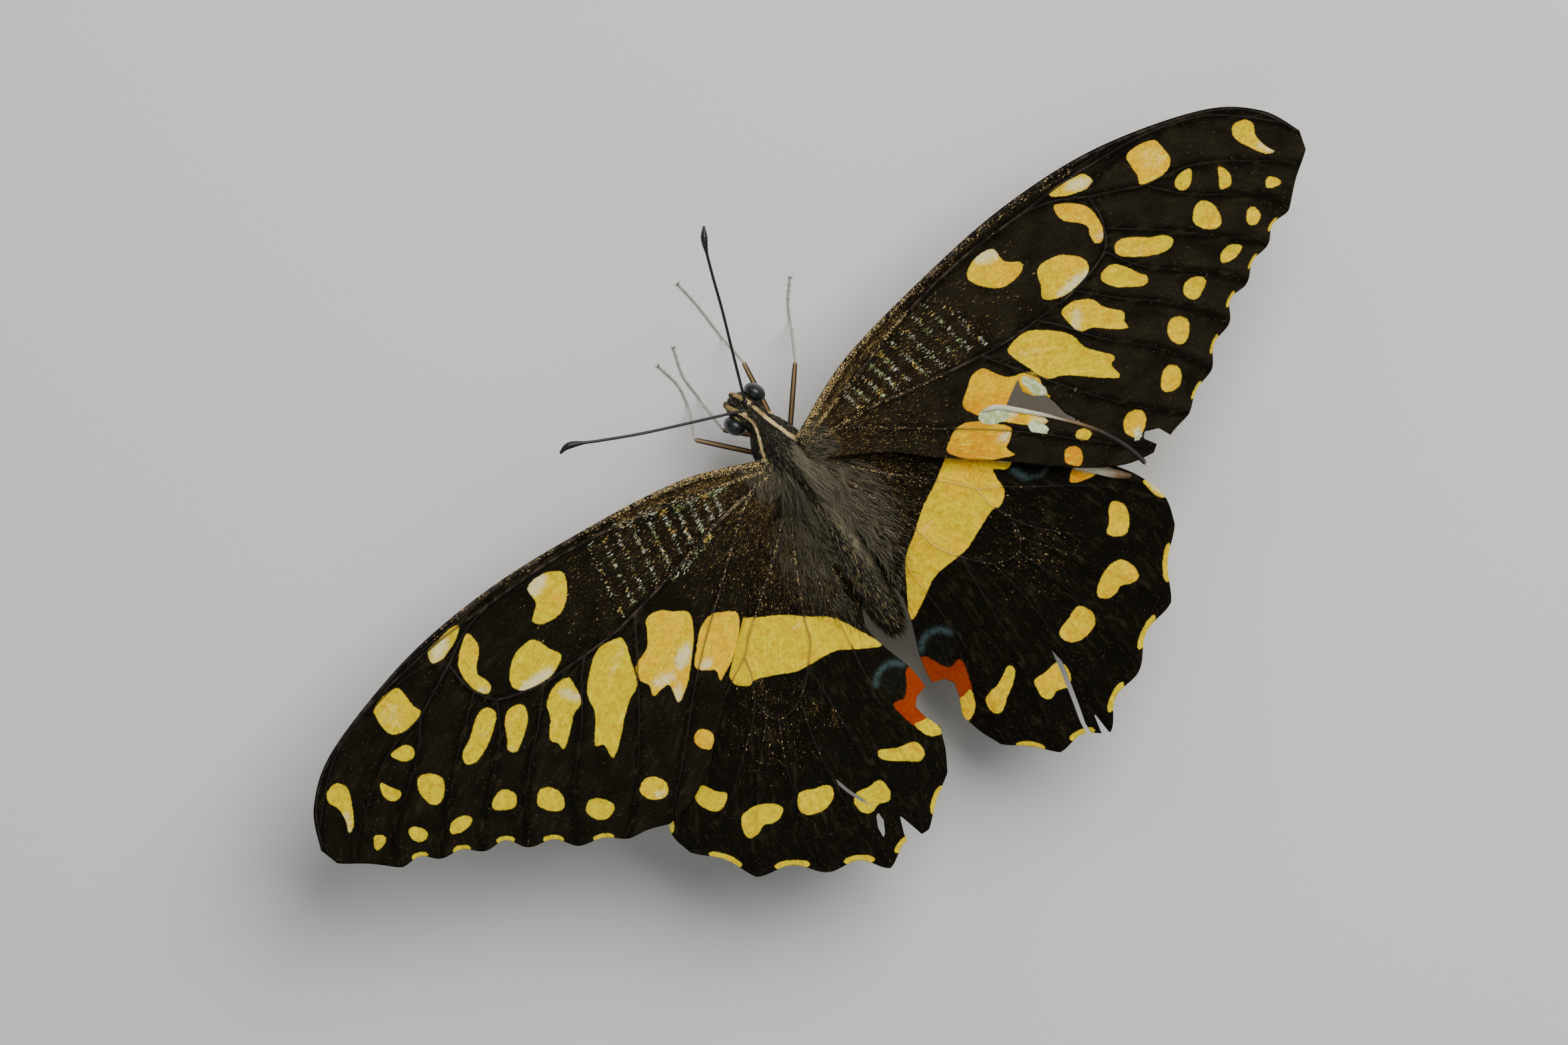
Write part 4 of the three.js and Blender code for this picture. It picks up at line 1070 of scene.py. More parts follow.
def membrane(kind, side, hand):
    """One wing's shell, with its markings in every point and its grid as the map for streaks."""
    lie, (rows, columns) = LIES[kind, hand], GRIDS[kind]
    grid = wing_grid(FORMS[kind], lie["tuck"], rows, columns)
    drawn, quads = tear(grid.reshape(-1, 2), grid_quads(rows, columns), TEARS[kind, hand])
    first, second = vein_gaps(kind, drawn)
    middle = on_wing(kind, hand, drawn, relief(kind, drawn, first, second))
    points, faces = shell(middle, quads[:, ::-1] if hand == RIGHT else quads, MEMBRANE)
    fields = {key: np.tile(values, 2) for key, values in markings(kind, hand, drawn).items()}
    fields["vein"] = np.tile(first, 2)
    fields["under"] = np.repeat([0.0, 1.0], len(drawn))
    make_piece(f"{kind}_{side}_membrane", points, faces, WING, [f"{kind}_{side}"], fields,
               {"Lie": lie_map(rows, columns, *LIE_SIZE)})


for kind in FORMS:
    for side, hand in SIDES:
        membrane(kind, side, hand)

# %% Veins
VEIN_STEP = 0.35
VEIN_HEIGHT = 0.8  # a vein's height for each mm of its width
VEIN_PALE = {("forewing", RIGHT): 0.35, ("forewing", LEFT): 0.35,
             ("hindwing", RIGHT): 1.0, ("hindwing", LEFT): 0.5}
OUTLINES = {kind: np.vstack([*wing_edges(form)[:2], wing_edges(form)[2][::-1]])
            for kind, form in FORMS.items()}


def vein_tubes(kind, side, hand):
    """Tubes on the ridges of the membrane, thinning as share^0.7. They end at tears and at the outline."""
    parts = []
    for (_, thick, thin), line in zip(VEINS[kind], VEIN_LINES[kind]):
        length = np.linalg.norm(np.diff(line, axis=0), axis=1).sum()
        path = even(line, max(6, int(length / VEIN_STEP)))
        gone = ~inside(path, OUTLINES[kind])
        for loop in TEARS[kind, hand]:
            gone |= inside(path, loop)
        path = path[~gone] if gone.sum() < len(path) - 4 else path
        path[:, 1] -= tuck_back(path, LIES[kind, hand]["tuck"], spline(FORMS[kind]["costa"], 300))
        lift = relief(kind, path, np.zeros(len(path)), vein_gaps(kind, path)[1])
        radius = thick + (thin - thick) * np.linspace(0, 1, len(path)) ** 0.7
        marks = markings(kind, hand, path)
        points, faces, share = tube(on_wing(kind, hand, path, lift), radius, VEIN_HEIGHT * radius, 8)
        nearest = np.minimum((share * (len(path) - 1)).round().astype(int), len(path) - 1)
        fields = {"spot": marks["spot"][nearest], "dust": 0.8 * marks["dust"][nearest],
                  "pale": np.full(len(nearest), VEIN_PALE[kind, hand]),
                  "thick": np.clip((radius[nearest] - 0.09) / 0.16, 0, 0.7)}
        parts.append((points, faces, fields))
    points, faces, fields = join(parts)
    make_piece(f"{kind}_{side}_veins", points, faces, VEIN, (), fields)


for kind in FORMS:
    for side, hand in SIDES:
        vein_tubes(kind, side, hand)

# %% [markdown]
# ## Torn pieces
# Where the right forewing is torn, its edge has rolled up into a pale quill that darkens towards
# its end, and a folded flap of the hindwing shows its white underside.

# %% The rolled edge and the flap
ROLLED_EDGE = [(17.6, -8), (18.9, -8.4), (20.3, -9.7), (22, -11.4), (23.6, -13.2), (25, -14.9),
               (26.2, -17), (27, -19), (27.4, -21.2)]
ROLL_RADIUS, ROLL_LIFT = 0.2, 0.12
FLAP_TOP = [(21.7, -17), (22.4, -16.6), (23.3, -17.4), (24.3, -18.8), (25.7, -20.7)]
FLAP_FOOT = [(21.6, -17.4), (22.3, -18), (23.1, -18.9), (24.1, -20), (25.4, -21)]
FLAP_STEPS = (70, 18)
# Along the roll: chalk, tan, black and the pale tip, each with where it begins and where it is full.
ROLL_CHALK = (0.78, 0.74, 0.58), (0.52, 0.56, 0.36)
ROLL_BANDS = [((0.22, 0.13, 0.06), 0.3, 0.52), ((0.012, 0.009, 0.007), 0.5, 0.72),
              ((0.6, 0.55, 0.4), 0.94, 0.97)]


def torn_material():
    """Chalk, then tan, then black along the roll, with a pale tip."""
    made, tree, shader = material("torn_membrane", 0.5, 0.3)
    along = swayed(tree, field(tree, "along"), noise(tree, 0.8), 0.12)
    colour = blend(tree, noise(tree, 0.6), *ROLL_CHALK)
    for band, start, full in ROLL_BANDS:
        colour = blend(tree, ramp(tree, along, start, full), colour, band)
    surface(tree, shader, colour, noise(tree, 0.3), 0.03)
    return made


def rolled_edge(finish):
    """A tube that wobbles in height and width by a few sines, and closes round at both ends."""
    path = even(spline(ROLLED_EDGE, 300), 110)
    share = np.linspace(0, 1, len(path))
    wobble = 0.05 * np.sin(41 * share) + 0.04 * np.sin(17 * share + 1)
    ends = np.sqrt(np.clip(np.minimum(share, 1 - share) / 0.05, 0.02, 1))
    radius = ROLL_RADIUS * (1 + 0.3 * np.sin(9 * share + 0.5)) * ends
    line = on_wing("forewing", RIGHT, path, ROLL_LIFT + wobble)
    points, faces, along = tube(line, radius, 0.7 * radius, 14)
    make_piece("rolled_edge", points, faces, finish, (), {"along": along})


def folded_flap(finish):
    """A sheet between two lines, arched over by sin(pi t) from one to the other."""
    top, foot = (even(spline(line, 100), FLAP_STEPS[0]) for line in (FLAP_TOP, FLAP_FOOT))
    t = np.linspace(0, 1, FLAP_STEPS[1])[None, :, None]
    drawn = ((1 - t) * top[:, None] + t * foot[:, None]).reshape(-1, 2)
    arch = 0.2 * np.sin(np.pi * np.tile(t.ravel(), FLAP_STEPS[0]))
    up = ROLL_LIFT + arch + 0.05 * np.sin(3 * drawn[:, 0])
    points, faces = shell(on_wing("hindwing", RIGHT, drawn, up), grid_quads(*FLAP_STEPS), 0.07)
    along = np.tile(np.repeat(np.linspace(0.08, 0.62, FLAP_STEPS[0]), FLAP_STEPS[1]), 2)
    make_piece("folded_flap", points, faces, finish, (), {"along": along})


TORN = torn_material()
rolled_edge(TORN)
folded_flap(TORN)

# %% [markdown]
# ## The trunk
# Head, neck, thorax and abdomen are one furry skin, so no seam shows between them. It is a row of
# oval sections, each given by its middle, its half width and its half height. The skin lies inside
# the frame's plain solids by the depth of the coat, and the head looks a little to its left.

# %% The line of the body
TRUNK = [  # side, forward, up, half width, half height
    (-0.5, -20.75, 6.9, 0.05, 0.05), (-0.49, -20.3, 6.95, 0.55, 0.55), (-0.45, -19.4, 7, 1, 1),
    (-0.36, -17.8, 7.1, 1.4, 1.4), (-0.2, -15, 7.3, 1.62, 1.6), (-0.05, -12, 7.5, 1.7, 1.68),
    (0.05, -9, 7.7, 1.7, 1.68), (0, -6.2, 7.95, 1.58, 1.55), (0, -4.6, 8.2, 1.45, 1.45),
    (0, -3.6, 8.5, 1.9, 2),
    (0, -2.2, 8.7, 2.35, 2.5), (0, -0.4, 8.85, 2.5, 2.7), (0, 1.2, 8.8, 2.2, 2.35),
    (-0.05, 2.4, 8.7, 1.65, 1.75),
    (-0.2, 3.2, 8.7, 1.2, 1.3), (-0.35, 3.9, 8.75, 1.35, 1.35), (-0.53, 4.7, 8.8, 1.55, 1.4),
    (-0.85, 5.5, 8.85, 1.25, 1.2), (-1.1, 6.05, 8.9, 0.75, 0.8), (-1.22, 6.35, 8.9, 0.05, 0.05),
]
SKIN_RINGS, SKIN_SIDES = 230, 72
ABDOMEN_RINGS, RING_DIP = 8, 0.05
MIDDLE, HALF_WIDTH, HALF_HEIGHT = slice(0, 3), 3, 4  # the columns of a section
TRUNK_LINE = spline(TRUNK, SKIN_RINGS)
TRUNK_WAY = np.gradient(TRUNK_LINE[:, MIDDLE], axis=0)
RING_AT = np.linspace(0, 1, SKIN_RINGS)


def on_trunk(at, angle):
    """Middle + across * half width * cos a + over * half height * sin a, and two directions there:
    out of the skin, and towards the tail."""
    line = np.stack([np.interp(at, RING_AT, column) for column in TRUNK_LINE.T], -1)
    forward = unit(np.stack([np.interp(at, RING_AT, column) for column in TRUNK_WAY.T], -1))
    across = unit(np.cross([0, 0, 1.0], forward))
    over = np.cross(forward, across)
    wave = (0.5 - 0.5 * np.cos(2 * np.pi * line[:, 1] / 2)) ** 4
    dip = RING_DIP * np.clip(-(line[:, 1] + 5) / 2, 0, 1) * wave
    wide, high = (np.maximum(line[:, k] - dip, 0.04)[:, None] for k in (HALF_WIDTH, HALF_HEIGHT))
    c, s = np.cos(angle)[:, None], np.sin(angle)[:, None]
    points = line[:, MIDDLE] + across * wide * c + over * high * s
    return points, unit(across * c / wide + over * s / high), -forward


print("top of the body halfway:", np.round(on_trunk(np.array([0.5]), np.array([np.pi / 2]))[0], 1))

# %% [markdown]
# ## Stripes and shades of the coat
# Skin and hair carry the same markings, so the coat doesn't change where it thins. The pale
# stripes are lines drawn from above. Below, the whole animal is cream.

# %% Where the body is cream, pale or flecked
CREAM_LINES = [  # pale stripes seen from above, and the half width of each
    ([(0.3, 4.5), (0.7, 3), (1.2, 1.5), (1.6, 0.3), (2.2, -1), (2.9, -2.9)], 0.18),
    ([(-0.85, 4.2), (-0.6, 3.2), (-0.9, 1.9), (-1.4, 0.6), (-1.75, -0.7), (-2.3, -2), (-2.8, -3)], 0.14),
    ([(1.1, 5.1), (1.7, 4.5), (1.85, 3.6), (2, 2.9), (2.6, 2), (3.3, 0.9)], 0.24),
    ([(-1.7, 4.6), (-1.75, 3.6), (-2, 2.6), (-2.5, 1.6), (-3.2, 0.7)], 0.2),
    ([(-0.6, 6.5), (-0.2, 5.9), (0.15, 5.1)], 0.22),
    ([(-1.75, 6), (-1.5, 5.5), (-1.05, 4.8), (-0.8, 4.3)], 0.22),
]


def body_marks(points, out):
    """cream: 1 on the pale stripes above, on the pale underside and along the flanks. pale: how grey-brown
    the hair is, from 0 for black, most at the rear sides of the thorax, and less on the left side, which is
    painted shade. flecked: where single gold scales are scattered, most on the right of the abdomen."""
    plan, (side, forward, up) = points[:, :2], points.T
    gaps = [to_line(plan, spline(line, 30))[0] / width for line, width in CREAM_LINES]
    above = np.clip((out[:, 2] + 0.1) / 0.3, 0, 1)
    cream = above * np.clip(1.4 - np.min(gaps, axis=0), 0, 1)
    below = np.clip((-0.35 - out[:, 2]) / 0.25, 0, 1) * np.where(forward > -5, 0.85, 0.6)
    flank = np.exp(-(((out[:, 2] + 0.15) / 0.14) ** 2)) * np.where(forward < -4.5, 0.8, 0.45)
    # Painted shade: the pale of the rear thorax is cut to 0.55 on the left side, away from the key light.
    middle = np.clip(np.abs(side + 0.1) / 0.9 - 0.35, 0, 1) * np.where(side > 0, 1, 0.55)
    rear = np.clip((-0.2 - forward) / 1.5, 0, 1) * np.clip((forward + 20) / 12, 0.15, 1)
    flecked = np.where(side > -0.3, 1.0, 0.5) * np.clip((-4 - forward) / 3, 0, 1)
    return np.clip(np.maximum.reduce([cream, below, flank]), 0, 1), 0.08 + 0.8 * rear * middle, flecked


print(len(CREAM_LINES), "pale stripes")

# %% Colours of skin and coat
COAT_DARK = (0.006, 0.005, 0.003), (0.42, 0.37, 0.24)
COAT_CREAM = (0.56, 0.40, 0.13), (0.94, 0.76, 0.40)


def coat_colours():
    """The colour of skin and hair from cream and pale, with a little of every hair's own shade."""
    inputs = {"Cream": 0, "Pale": 0, "Own": 0.5}
    tree, given, out = group("coat_colours", inputs, {"Colour": "NodeSocketColor"})
    own = swayed(tree, given["Pale"], given["Own"], 0.5)
    dark = blend(tree, ramp(tree, own, 0.0, 0.9), *COAT_DARK)
    cream = blend(tree, given["Own"], *COAT_CREAM)
    frayed = swayed(tree, given["Cream"], noise(tree, 0.35), 0.9)
    tree.links.new(blend(tree, ramp(tree, frayed, 0.4, 0.6), dark, cream), out["Colour"])
    return tree


def marked(tree, own):
    """The coat's colour from the marks on the mesh, and a shade of its own."""
    marks = {"Cream": field(tree, "cream"), "Pale": field(tree, "pale"), "Own": own}
    return use(tree, COAT_COLOURS, **marks)["Colour"]


def coat_material():
    made, tree, shader = material("fur", 0.55, 0.25)
    surface(tree, shader, marked(tree, field(tree, "own")))
    return made


def skin_material():
    made, tree, shader = material("skin", 0.7, 0.2)
    surface(tree, shader, marked(tree, noise(tree, 0.2, 2)), noise(tree, 0.12), 0.03)
    return made


COAT_COLOURS = coat_colours()
FUR, SKIN = coat_material(), skin_material()
print("materials:", FUR.name, "and", SKIN.name)


# %% The skin of head, thorax and abdomen
def trunk():
    """One ring of points for each section, closed by a point at the tail and one at the brow."""
    at, angle = np.meshgrid(RING_AT, np.linspace(0, 2 * np.pi, SKIN_SIDES, endpoint=False), indexing="ij")
    at, angle = np.append(at.ravel(), [0, 1]), np.append(angle.ravel(), [0, 0])
    points, out, _ = on_trunk(at, angle)
    points[-2:] = TRUNK_LINE[[0, -1], MIDDLE]
    cream, pale, _ = body_marks(points, out)
    uv = {"OFBake": np.stack([0.02 + 0.96 * at, 0.02 + 0.96 * angle / (2 * np.pi)], -1)}
    make_piece("trunk", points, tube_faces(SKIN_RINGS, SKIN_SIDES), SKIN,
               ["thorax", "abdomen", "prothorax", "head"], {"cream": cream, "pale": pale}, uv)


trunk()

# %% [markdown]
# ## The folds beside the abdomen
# A swallowtail's hindwings curl down along the abdomen. Each fold is a sheet ruled from a line on
# the wing near its inner margin down to the abdomen's flank, sagging a little on the way.

# %% From the inner margin down to the flank
FOLD_EDGE = [(2.3, -4.6), (2.7, -6), (2.8, -9), (2.5, -13), (2.1, -16), (1.75, -18)]
FOLD_ROWS, FOLD_COLUMNS = 90, 16
FOLD_THICK, FOLD_SIZE = 0.1, (0.015, 0.002)
FOLD_MARKS = {"spot": 3, "tone": 0.2, "worn": 0, "bare": 0, "rows": 0, "dust": 0.25, "red": 3, "blue": 0,
              "sheen_between_veins": 0, "under": 0, "vein": 1}


def inner_fold(side, hand):
    """(1 - t) * edge + t * flank - sag * sin(pi t), with t from the wing to the body. The sheet
    narrows over its last fifth."""
    drawn = even(spline(FOLD_EDGE, 200), FOLD_ROWS)
    edge = on_wing("hindwing", hand, drawn, -0.14)
    line = TRUNK_LINE[::-1]
    flank = np.stack([np.interp(-edge[:, 1], -line[:, 1], column) for column in line.T], -1)
    inset = np.clip((edge[:, 1] + 18.3) / 3, 0, 1)[:, None]
    out = flank[:, [HALF_WIDTH]] * (0.8 * inset + 1.35 * (1 - inset))
    inner = flank[:, MIDDLE] + [hand, 0, 0] * out + [0, 0, 0.45]
    close = np.clip((shares(edge) - 0.78) / 0.22, 0, 1)[:, None] ** 2
    inner += (edge - inner) * 0.9 * close
    t = np.linspace(0, 1, FOLD_COLUMNS)[None, :, None]
    sheet = (1 - t) * edge[:, None] + t * inner[:, None] + [hand * 0.25, 0, -0.35] * np.sin(np.pi * t)
    quads = grid_quads(FOLD_ROWS, FOLD_COLUMNS)
    points, faces = shell(sheet.reshape(-1, 3), quads[:, ::-1] if hand == LEFT else quads, FOLD_THICK)
    fields = {key: np.full(len(points), value, float) for key, value in FOLD_MARKS.items()}
    uv = {"Lie": lie_map(FOLD_ROWS, FOLD_COLUMNS, *FOLD_SIZE)}
    make_piece(f"wing_fold_{side}", points, faces, WING, (), fields, uv)


for side, hand in SIDES:
    inner_fold(side, hand)

# %% [markdown]
# ## The coat
# A tuft is a thin three-sided spike. Its direction turns evenly from the one it leaves the skin in
# to the one it lies in, which bends it into a parabola. All the tufts of a piece are one array sum:
# roots + length * (t * (1 - t / 2) * first + t^2 / 2 * last), with t from 0 at the root to 1.

# %% Tufts as arrays
HAIR_RINGS, HAIR_SIDES = 3, 3
PATCH = 0.003  # how much of the map of the coat's colours one tuft takes
ROOT_DEPTH = 0.06


def hairs(name, roots, first, last, length, width, fields, uv):
    """One piece of many tufts, each a closed spike that thins as (1 - t)^0.7 towards its tip."""
    count = len(roots)
    t = np.linspace(0, 0.8, HAIR_RINGS)[None, :, None]
    t = np.concatenate([t, np.ones((1, 1, 1))], 1)
    reach = np.reshape(length, (-1, 1, 1))
    path = roots[:, None] + reach * (t * (1 - t / 2) * unit(first)[:, None] + t**2 / 2 * unit(last)[:, None])
    way = unit((1 - t) * unit(first)[:, None] + t * unit(last)[:, None])
    across = unit(np.cross(way, [0.31, 0.23, 0.92]))
    over = np.cross(way, across)
    a = np.linspace(0, 2 * np.pi, HAIR_SIDES, endpoint=False)
    radius = (np.reshape(width, (-1, 1, 1)) * (1 - t) ** 0.7)[:, :HAIR_RINGS, :, None]
    across, over = across[:, :HAIR_RINGS, None], over[:, :HAIR_RINGS, None]
    ring = (across * np.cos(a)[:, None] + over * np.sin(a)[:, None]) * radius
    rings = (path[:, :HAIR_RINGS, None] + ring).reshape(count, -1, 3)
    points = np.concatenate([rings, path[:, :1], path[:, -1:]], 1)
    per_hair = points.shape[1]
    faces = [(np.arange(count)[:, None, None] * per_hair + f).reshape(-1, f.shape[1])
             for f in tube_faces(HAIR_RINGS, HAIR_SIDES)]
    spread = np.random.default_rng(5).uniform(0, PATCH, (per_hair, 2))
    uv = {"OFBake": (uv[:, None] + spread).reshape(-1, 2)}
    fields = {key: np.repeat(values, per_hair) for key, values in fields.items()}
    make_piece(name, points.reshape(-1, 3), faces, FUR, (), fields, uv)


def on_map(across, along):
    """A place on the map of the coat's colours, both from 0 to 1, kept off its edges."""
    return np.stack([0.02 + 0.95 * across, 0.02 + 0.95 * along], -1)


def uncoloured(rng, pale):
    """Marks of hair that has no cream in it, each with a shade of its own."""
    return {"cream": np.zeros(len(pale)), "pale": pale, "own": rng.uniform(0, 1, len(pale))}


def trunk_hairs(name, count, reach, longest, seed, lift=0.6):
    """Tufts over the trunk between two places along it, which lie back, and forward on the brow."""
    rng = np.random.default_rng(seed)
    weight = TRUNK_LINE[:, HALF_WIDTH] * np.linalg.norm(TRUNK_WAY, axis=1)
    weight *= (TRUNK_LINE[:, 1] > reach[0]) & (TRUNK_LINE[:, 1] <= reach[1])
    at = rng.choice(RING_AT, count, p=weight / weight.sum()) + rng.uniform(-0.5, 0.5, count) / SKIN_RINGS
    angle = rng.uniform(0, 2 * np.pi, count)
    points, out, back = on_trunk(np.clip(at, 0.002, 0.998), angle)
    flow = np.clip(5.3 - points[:, 1], -0.5, 0.5)[:, None] * 2
    loose = rng.normal(0, 0.16, (count, 3))
    first = out * lift + back * flow + loose
    last = back * flow * 1.1 + out * 0.12 + loose * 1.5
    size = longest * rng.uniform(0.5, 1, count) * (1 + 0.5 * np.abs(np.cos(angle)) * (points[:, 1] < -4))
    cream, pale, flecked = body_marks(points + 0.5 * size[:, None] * back * flow, out)
    # Painted shade: on the left side, short of the face, each hair's own shade is cut to 0.35, which darkens
    # both its brown and its cream.
    own = rng.uniform(0, 1, count) * np.where((points[:, 0] < -0.4) & (points[:, 1] < 4), 0.35, 1)
    pale = np.where(rng.uniform(0, 1, count) < 0.16, pale + 0.5, pale * rng.uniform(0.3, 1.2, count))
    cream = np.where(rng.uniform(0, 1, count) < 0.11 * flecked, 1, cream)
    fields = {"cream": cream, "pale": pale, "own": own}
    width = 0.02 + 0.012 * rng.uniform(0, 1, count)
    hairs(name, points - ROOT_DEPTH * out, first, last, size, width, fields, on_map(at, angle / (2 * np.pi)))


trunk_hairs("coat_abdomen", 10800, (-21, -4.6), 0.8, 11, 0.35)
trunk_hairs("coat_thorax_rear", 10500, (-4.9, -0.5), 0.95, 12)
trunk_hairs("coat_thorax_front", 10500, (-0.5, 3.1), 0.6, 13)
trunk_hairs("coat_head", 8500, (3.1, 6.4), 0.42, 14, 0.7)

# %% [markdown]
# ## The long hair
# From the rear sides of the thorax long grey-brown hair sweeps back over the abdomen, and more of
# it grows on the inner part of the hindwings. It is combed backward and a little outward, in locks
# that lean together, so each hair shares most of its lean with its neighbours.

# %% Long hair of the thorax and of the hindwing bases
LOCK = 0.9  # how far apart two locks are
LONG_HAIRS, WING_HAIRS, HINGE_HAIRS = 2000, 12000, 2600


def locks(points, seed):
    """A lean that changes smoothly over a few tenths of a millimetre: a sum of slow waves."""
    rng = np.random.default_rng(seed)
    waves = rng.normal(0, 1, (5, 2)) * 2.2 / LOCK
    phase = rng.uniform(0, 2 * np.pi, 5)
    return np.sin(points[:, :2] @ waves.T + phase).sum(1) / 2.5


def long_hairs(side, hand, seed):
    """Hair from the upper rear of the thorax that sweeps back over the abdomen."""
    rng = np.random.default_rng(seed)
    count = LONG_HAIRS
    at = rng.uniform(0.37, 0.56, count)
    angle = np.pi / 2 + hand * rng.uniform(0.15, 1.5, count)
    points, out, back = on_trunk(at, angle)
    lean = locks(points, seed)[:, None]
    sway = np.array([hand, 0, 0])
    first = out * 0.7 + back * 1.0 + sway * 0.15 + rng.normal(0, 0.12, (count, 3))
    last = back + sway * (0.25 + 0.42 * lean) - [0, 0, 0.3] + rng.normal(0, 0.12, (count, 3))
    # Painted shade: the long hair of the left side is made only 0.4 as pale as the right's.
    pale = rng.uniform(0.1, 1.2, count) ** 1.5 * (1 if hand == RIGHT else 0.4)
    fields, uv = uncoloured(rng, pale), on_map(at, (angle % (2 * np.pi)) / (2 * np.pi))
    length = rng.uniform(1.6, 5, count)
    hairs(f"long_hair_{side}", points - 0.05 * out, first, last, length, 0.015, fields, uv)


HAIRY_WING = [(1.4, -4), (2.6, -3.2), (4.4, -3.8), (6.4, -6.2), (7, -9.6), (6.2, -12.6), (4.4, -15),
              (2.6, -18.4),
              (1.5, -19), (1.9, -14)]


def wing_hairs(side, hand, seed):
    """Hair on the inner part of a hindwing, thinning outward. It lies back along the wing, and what
    grows close to the body leans in over the abdomen's flank."""
    rng = np.random.default_rng(seed)
    loop = blob(HAIRY_WING)
    drawn = rng.uniform(loop.min(0), loop.max(0), (WING_HAIRS, 2))
    drawn = drawn[inside(drawn, loop)]
    thin = np.clip(1.15 - np.hypot(drawn[:, 0] - 1.6, (drawn[:, 1] + 6) / 2.4) / 4.6, 0.06, 1)
    drawn = drawn[rng.uniform(0, 1, len(drawn)) < thin]
    count = len(drawn)
    roots = on_wing("hindwing", hand, drawn, relief("hindwing", drawn, *vein_gaps("hindwing", drawn)) + 0.03)
    lean = locks(roots, seed)
    slope = unit(on_wing("hindwing", hand, drawn + [0.2, -1]) - on_wing("hindwing", hand, drawn))
    inward = np.clip((2.9 - drawn[:, 0]) / 1.2, 0, 1)
    spread = hand * (0.1 + 0.5 * lean + 0.06 * (drawn[:, 0] - 2) - 0.5 * inward)
    turn = np.stack([spread, 0 * spread, 0.2 * inward], -1)
    first = slope + turn + [0, 0, 0.3] + rng.normal(0, 0.16, (count, 3))
    last = slope + 1.4 * turn - [0, 0, 0.1] + rng.normal(0, 0.2, (count, 3))
    length = rng.uniform(0.7, 2.6, count) * np.clip(1.2 + (drawn[:, 1] + 4) / 20, 0.45, 1)
    pale = rng.uniform(0, 1.1, count) ** 1.4 * np.clip(1.1 - (drawn[:, 0] - 2) / 8, 0.3, 1)
    # Painted shade: the left wing's hair is made only 0.55 as pale as the right's.
    pale *= 1 if hand == RIGHT else 0.55
    uv = 0.02 + 0.95 * (drawn - loop.min(0)) / np.ptp(loop, axis=0)
    hairs(f"wing_hair_{side}", roots, first, last, length, 0.013, uncoloured(rng, pale), uv)


def hinge_hairs(side, hand, seed):
    """A tuft over each forewing's hinge, cream in front and grey-brown behind, combed out and back."""
    rng = np.random.default_rng(seed)
    out, forward = rng.uniform(0, 1, HINGE_HAIRS), rng.uniform(-2.9, 0.9, HINGE_HAIRS)
    drawn = np.stack([1.9 + 2.6 * out**1.5, forward], -1)
    drawn = drawn[drawn[:, 1] < 0.45 * (drawn[:, 0] - 1.8)]
    count = len(drawn)
    roots = on_wing("forewing", hand, drawn, 0.02)
    ahead = on_wing("forewing", hand, drawn + [1, -0.75])
    slope = unit(ahead - roots) + locks(roots, seed)[:, None] * [0.12, 0.12, 0]
    first = slope + [0, 0, 0.35] + rng.normal(0, 0.14, (count, 3))
    last = slope - [0, 0, 0.12] + rng.normal(0, 0.14, (count, 3))
    cream = 0.9 * fading(drawn, (2.2, 0.2), 0.9, 0.9)
    fields = uncoloured(rng, rng.uniform(0, 0.8, count) ** 1.4) | {"cream": cream}
    uv = 0.02 + 0.9 * (drawn - drawn.min(0)) / np.ptp(drawn, axis=0)
    hairs(f"hinge_hair_{side}", roots, first, last, rng.uniform(0.5, 1.3, count), 0.015, fields, uv)


for index, (side, hand) in enumerate(SIDES):
    long_hairs(side, hand, 21 + index)
    wing_hairs(side, hand, 31 + index)
    hinge_hairs(side, hand, 51 + index)

# %% [markdown]
# ## The head
# The compound eyes are big polished domes of tiny facets. Between them rise the two antennae, thin
# ringed rods that end in a hooked club. Under the face lie two scaly palps and the coiled tongue.

# %% Eyes
HEAD_AT, HEAD_TURN = np.array([-0.53, 4.83, 8.8]), np.radians(25)
EYE_HALF = (0.84, 1.1, 1.25)


def head_turn(points):
    """The head's own directions to the body's: side * cos - forward * sin, side * sin + forward * cos."""
    side, forward, up = np.moveaxis(np.asarray(points, float), -1, 0)
    c, s = np.cos(HEAD_TURN), np.sin(HEAD_TURN)
    return np.stack([side * c - forward * s, side * s + forward * c, up], -1)


def ball(half, rings=40, sides=56):
    """An ellipsoid: half sizes * (cos b cos a, sin b, cos b sin a), with b from pole to pole."""
    b = np.linspace(-np.pi / 2, np.pi / 2, rings + 2)[1:-1, None]
    a = np.linspace(0, 2 * np.pi, sides, endpoint=False)[None]
    grid = np.stack([-np.cos(b) * np.cos(a), np.sin(b) + 0 * a, np.cos(b) * np.sin(a)], -1).reshape(-1, 3)
    return np.vstack([grid, [0, -1, 0], [0, 1, 0]]) * half, tube_faces(rings, sides)


FACET = 0.045
# The second black is a painted reflection of the sky, for the top of the eye.
EYE_BLACK_AND_SKY, EYE_GREEN = ((0.004, 0.004, 0.003), (0.008, 0.013, 0.012)), (0.007, 0.013, 0.009)


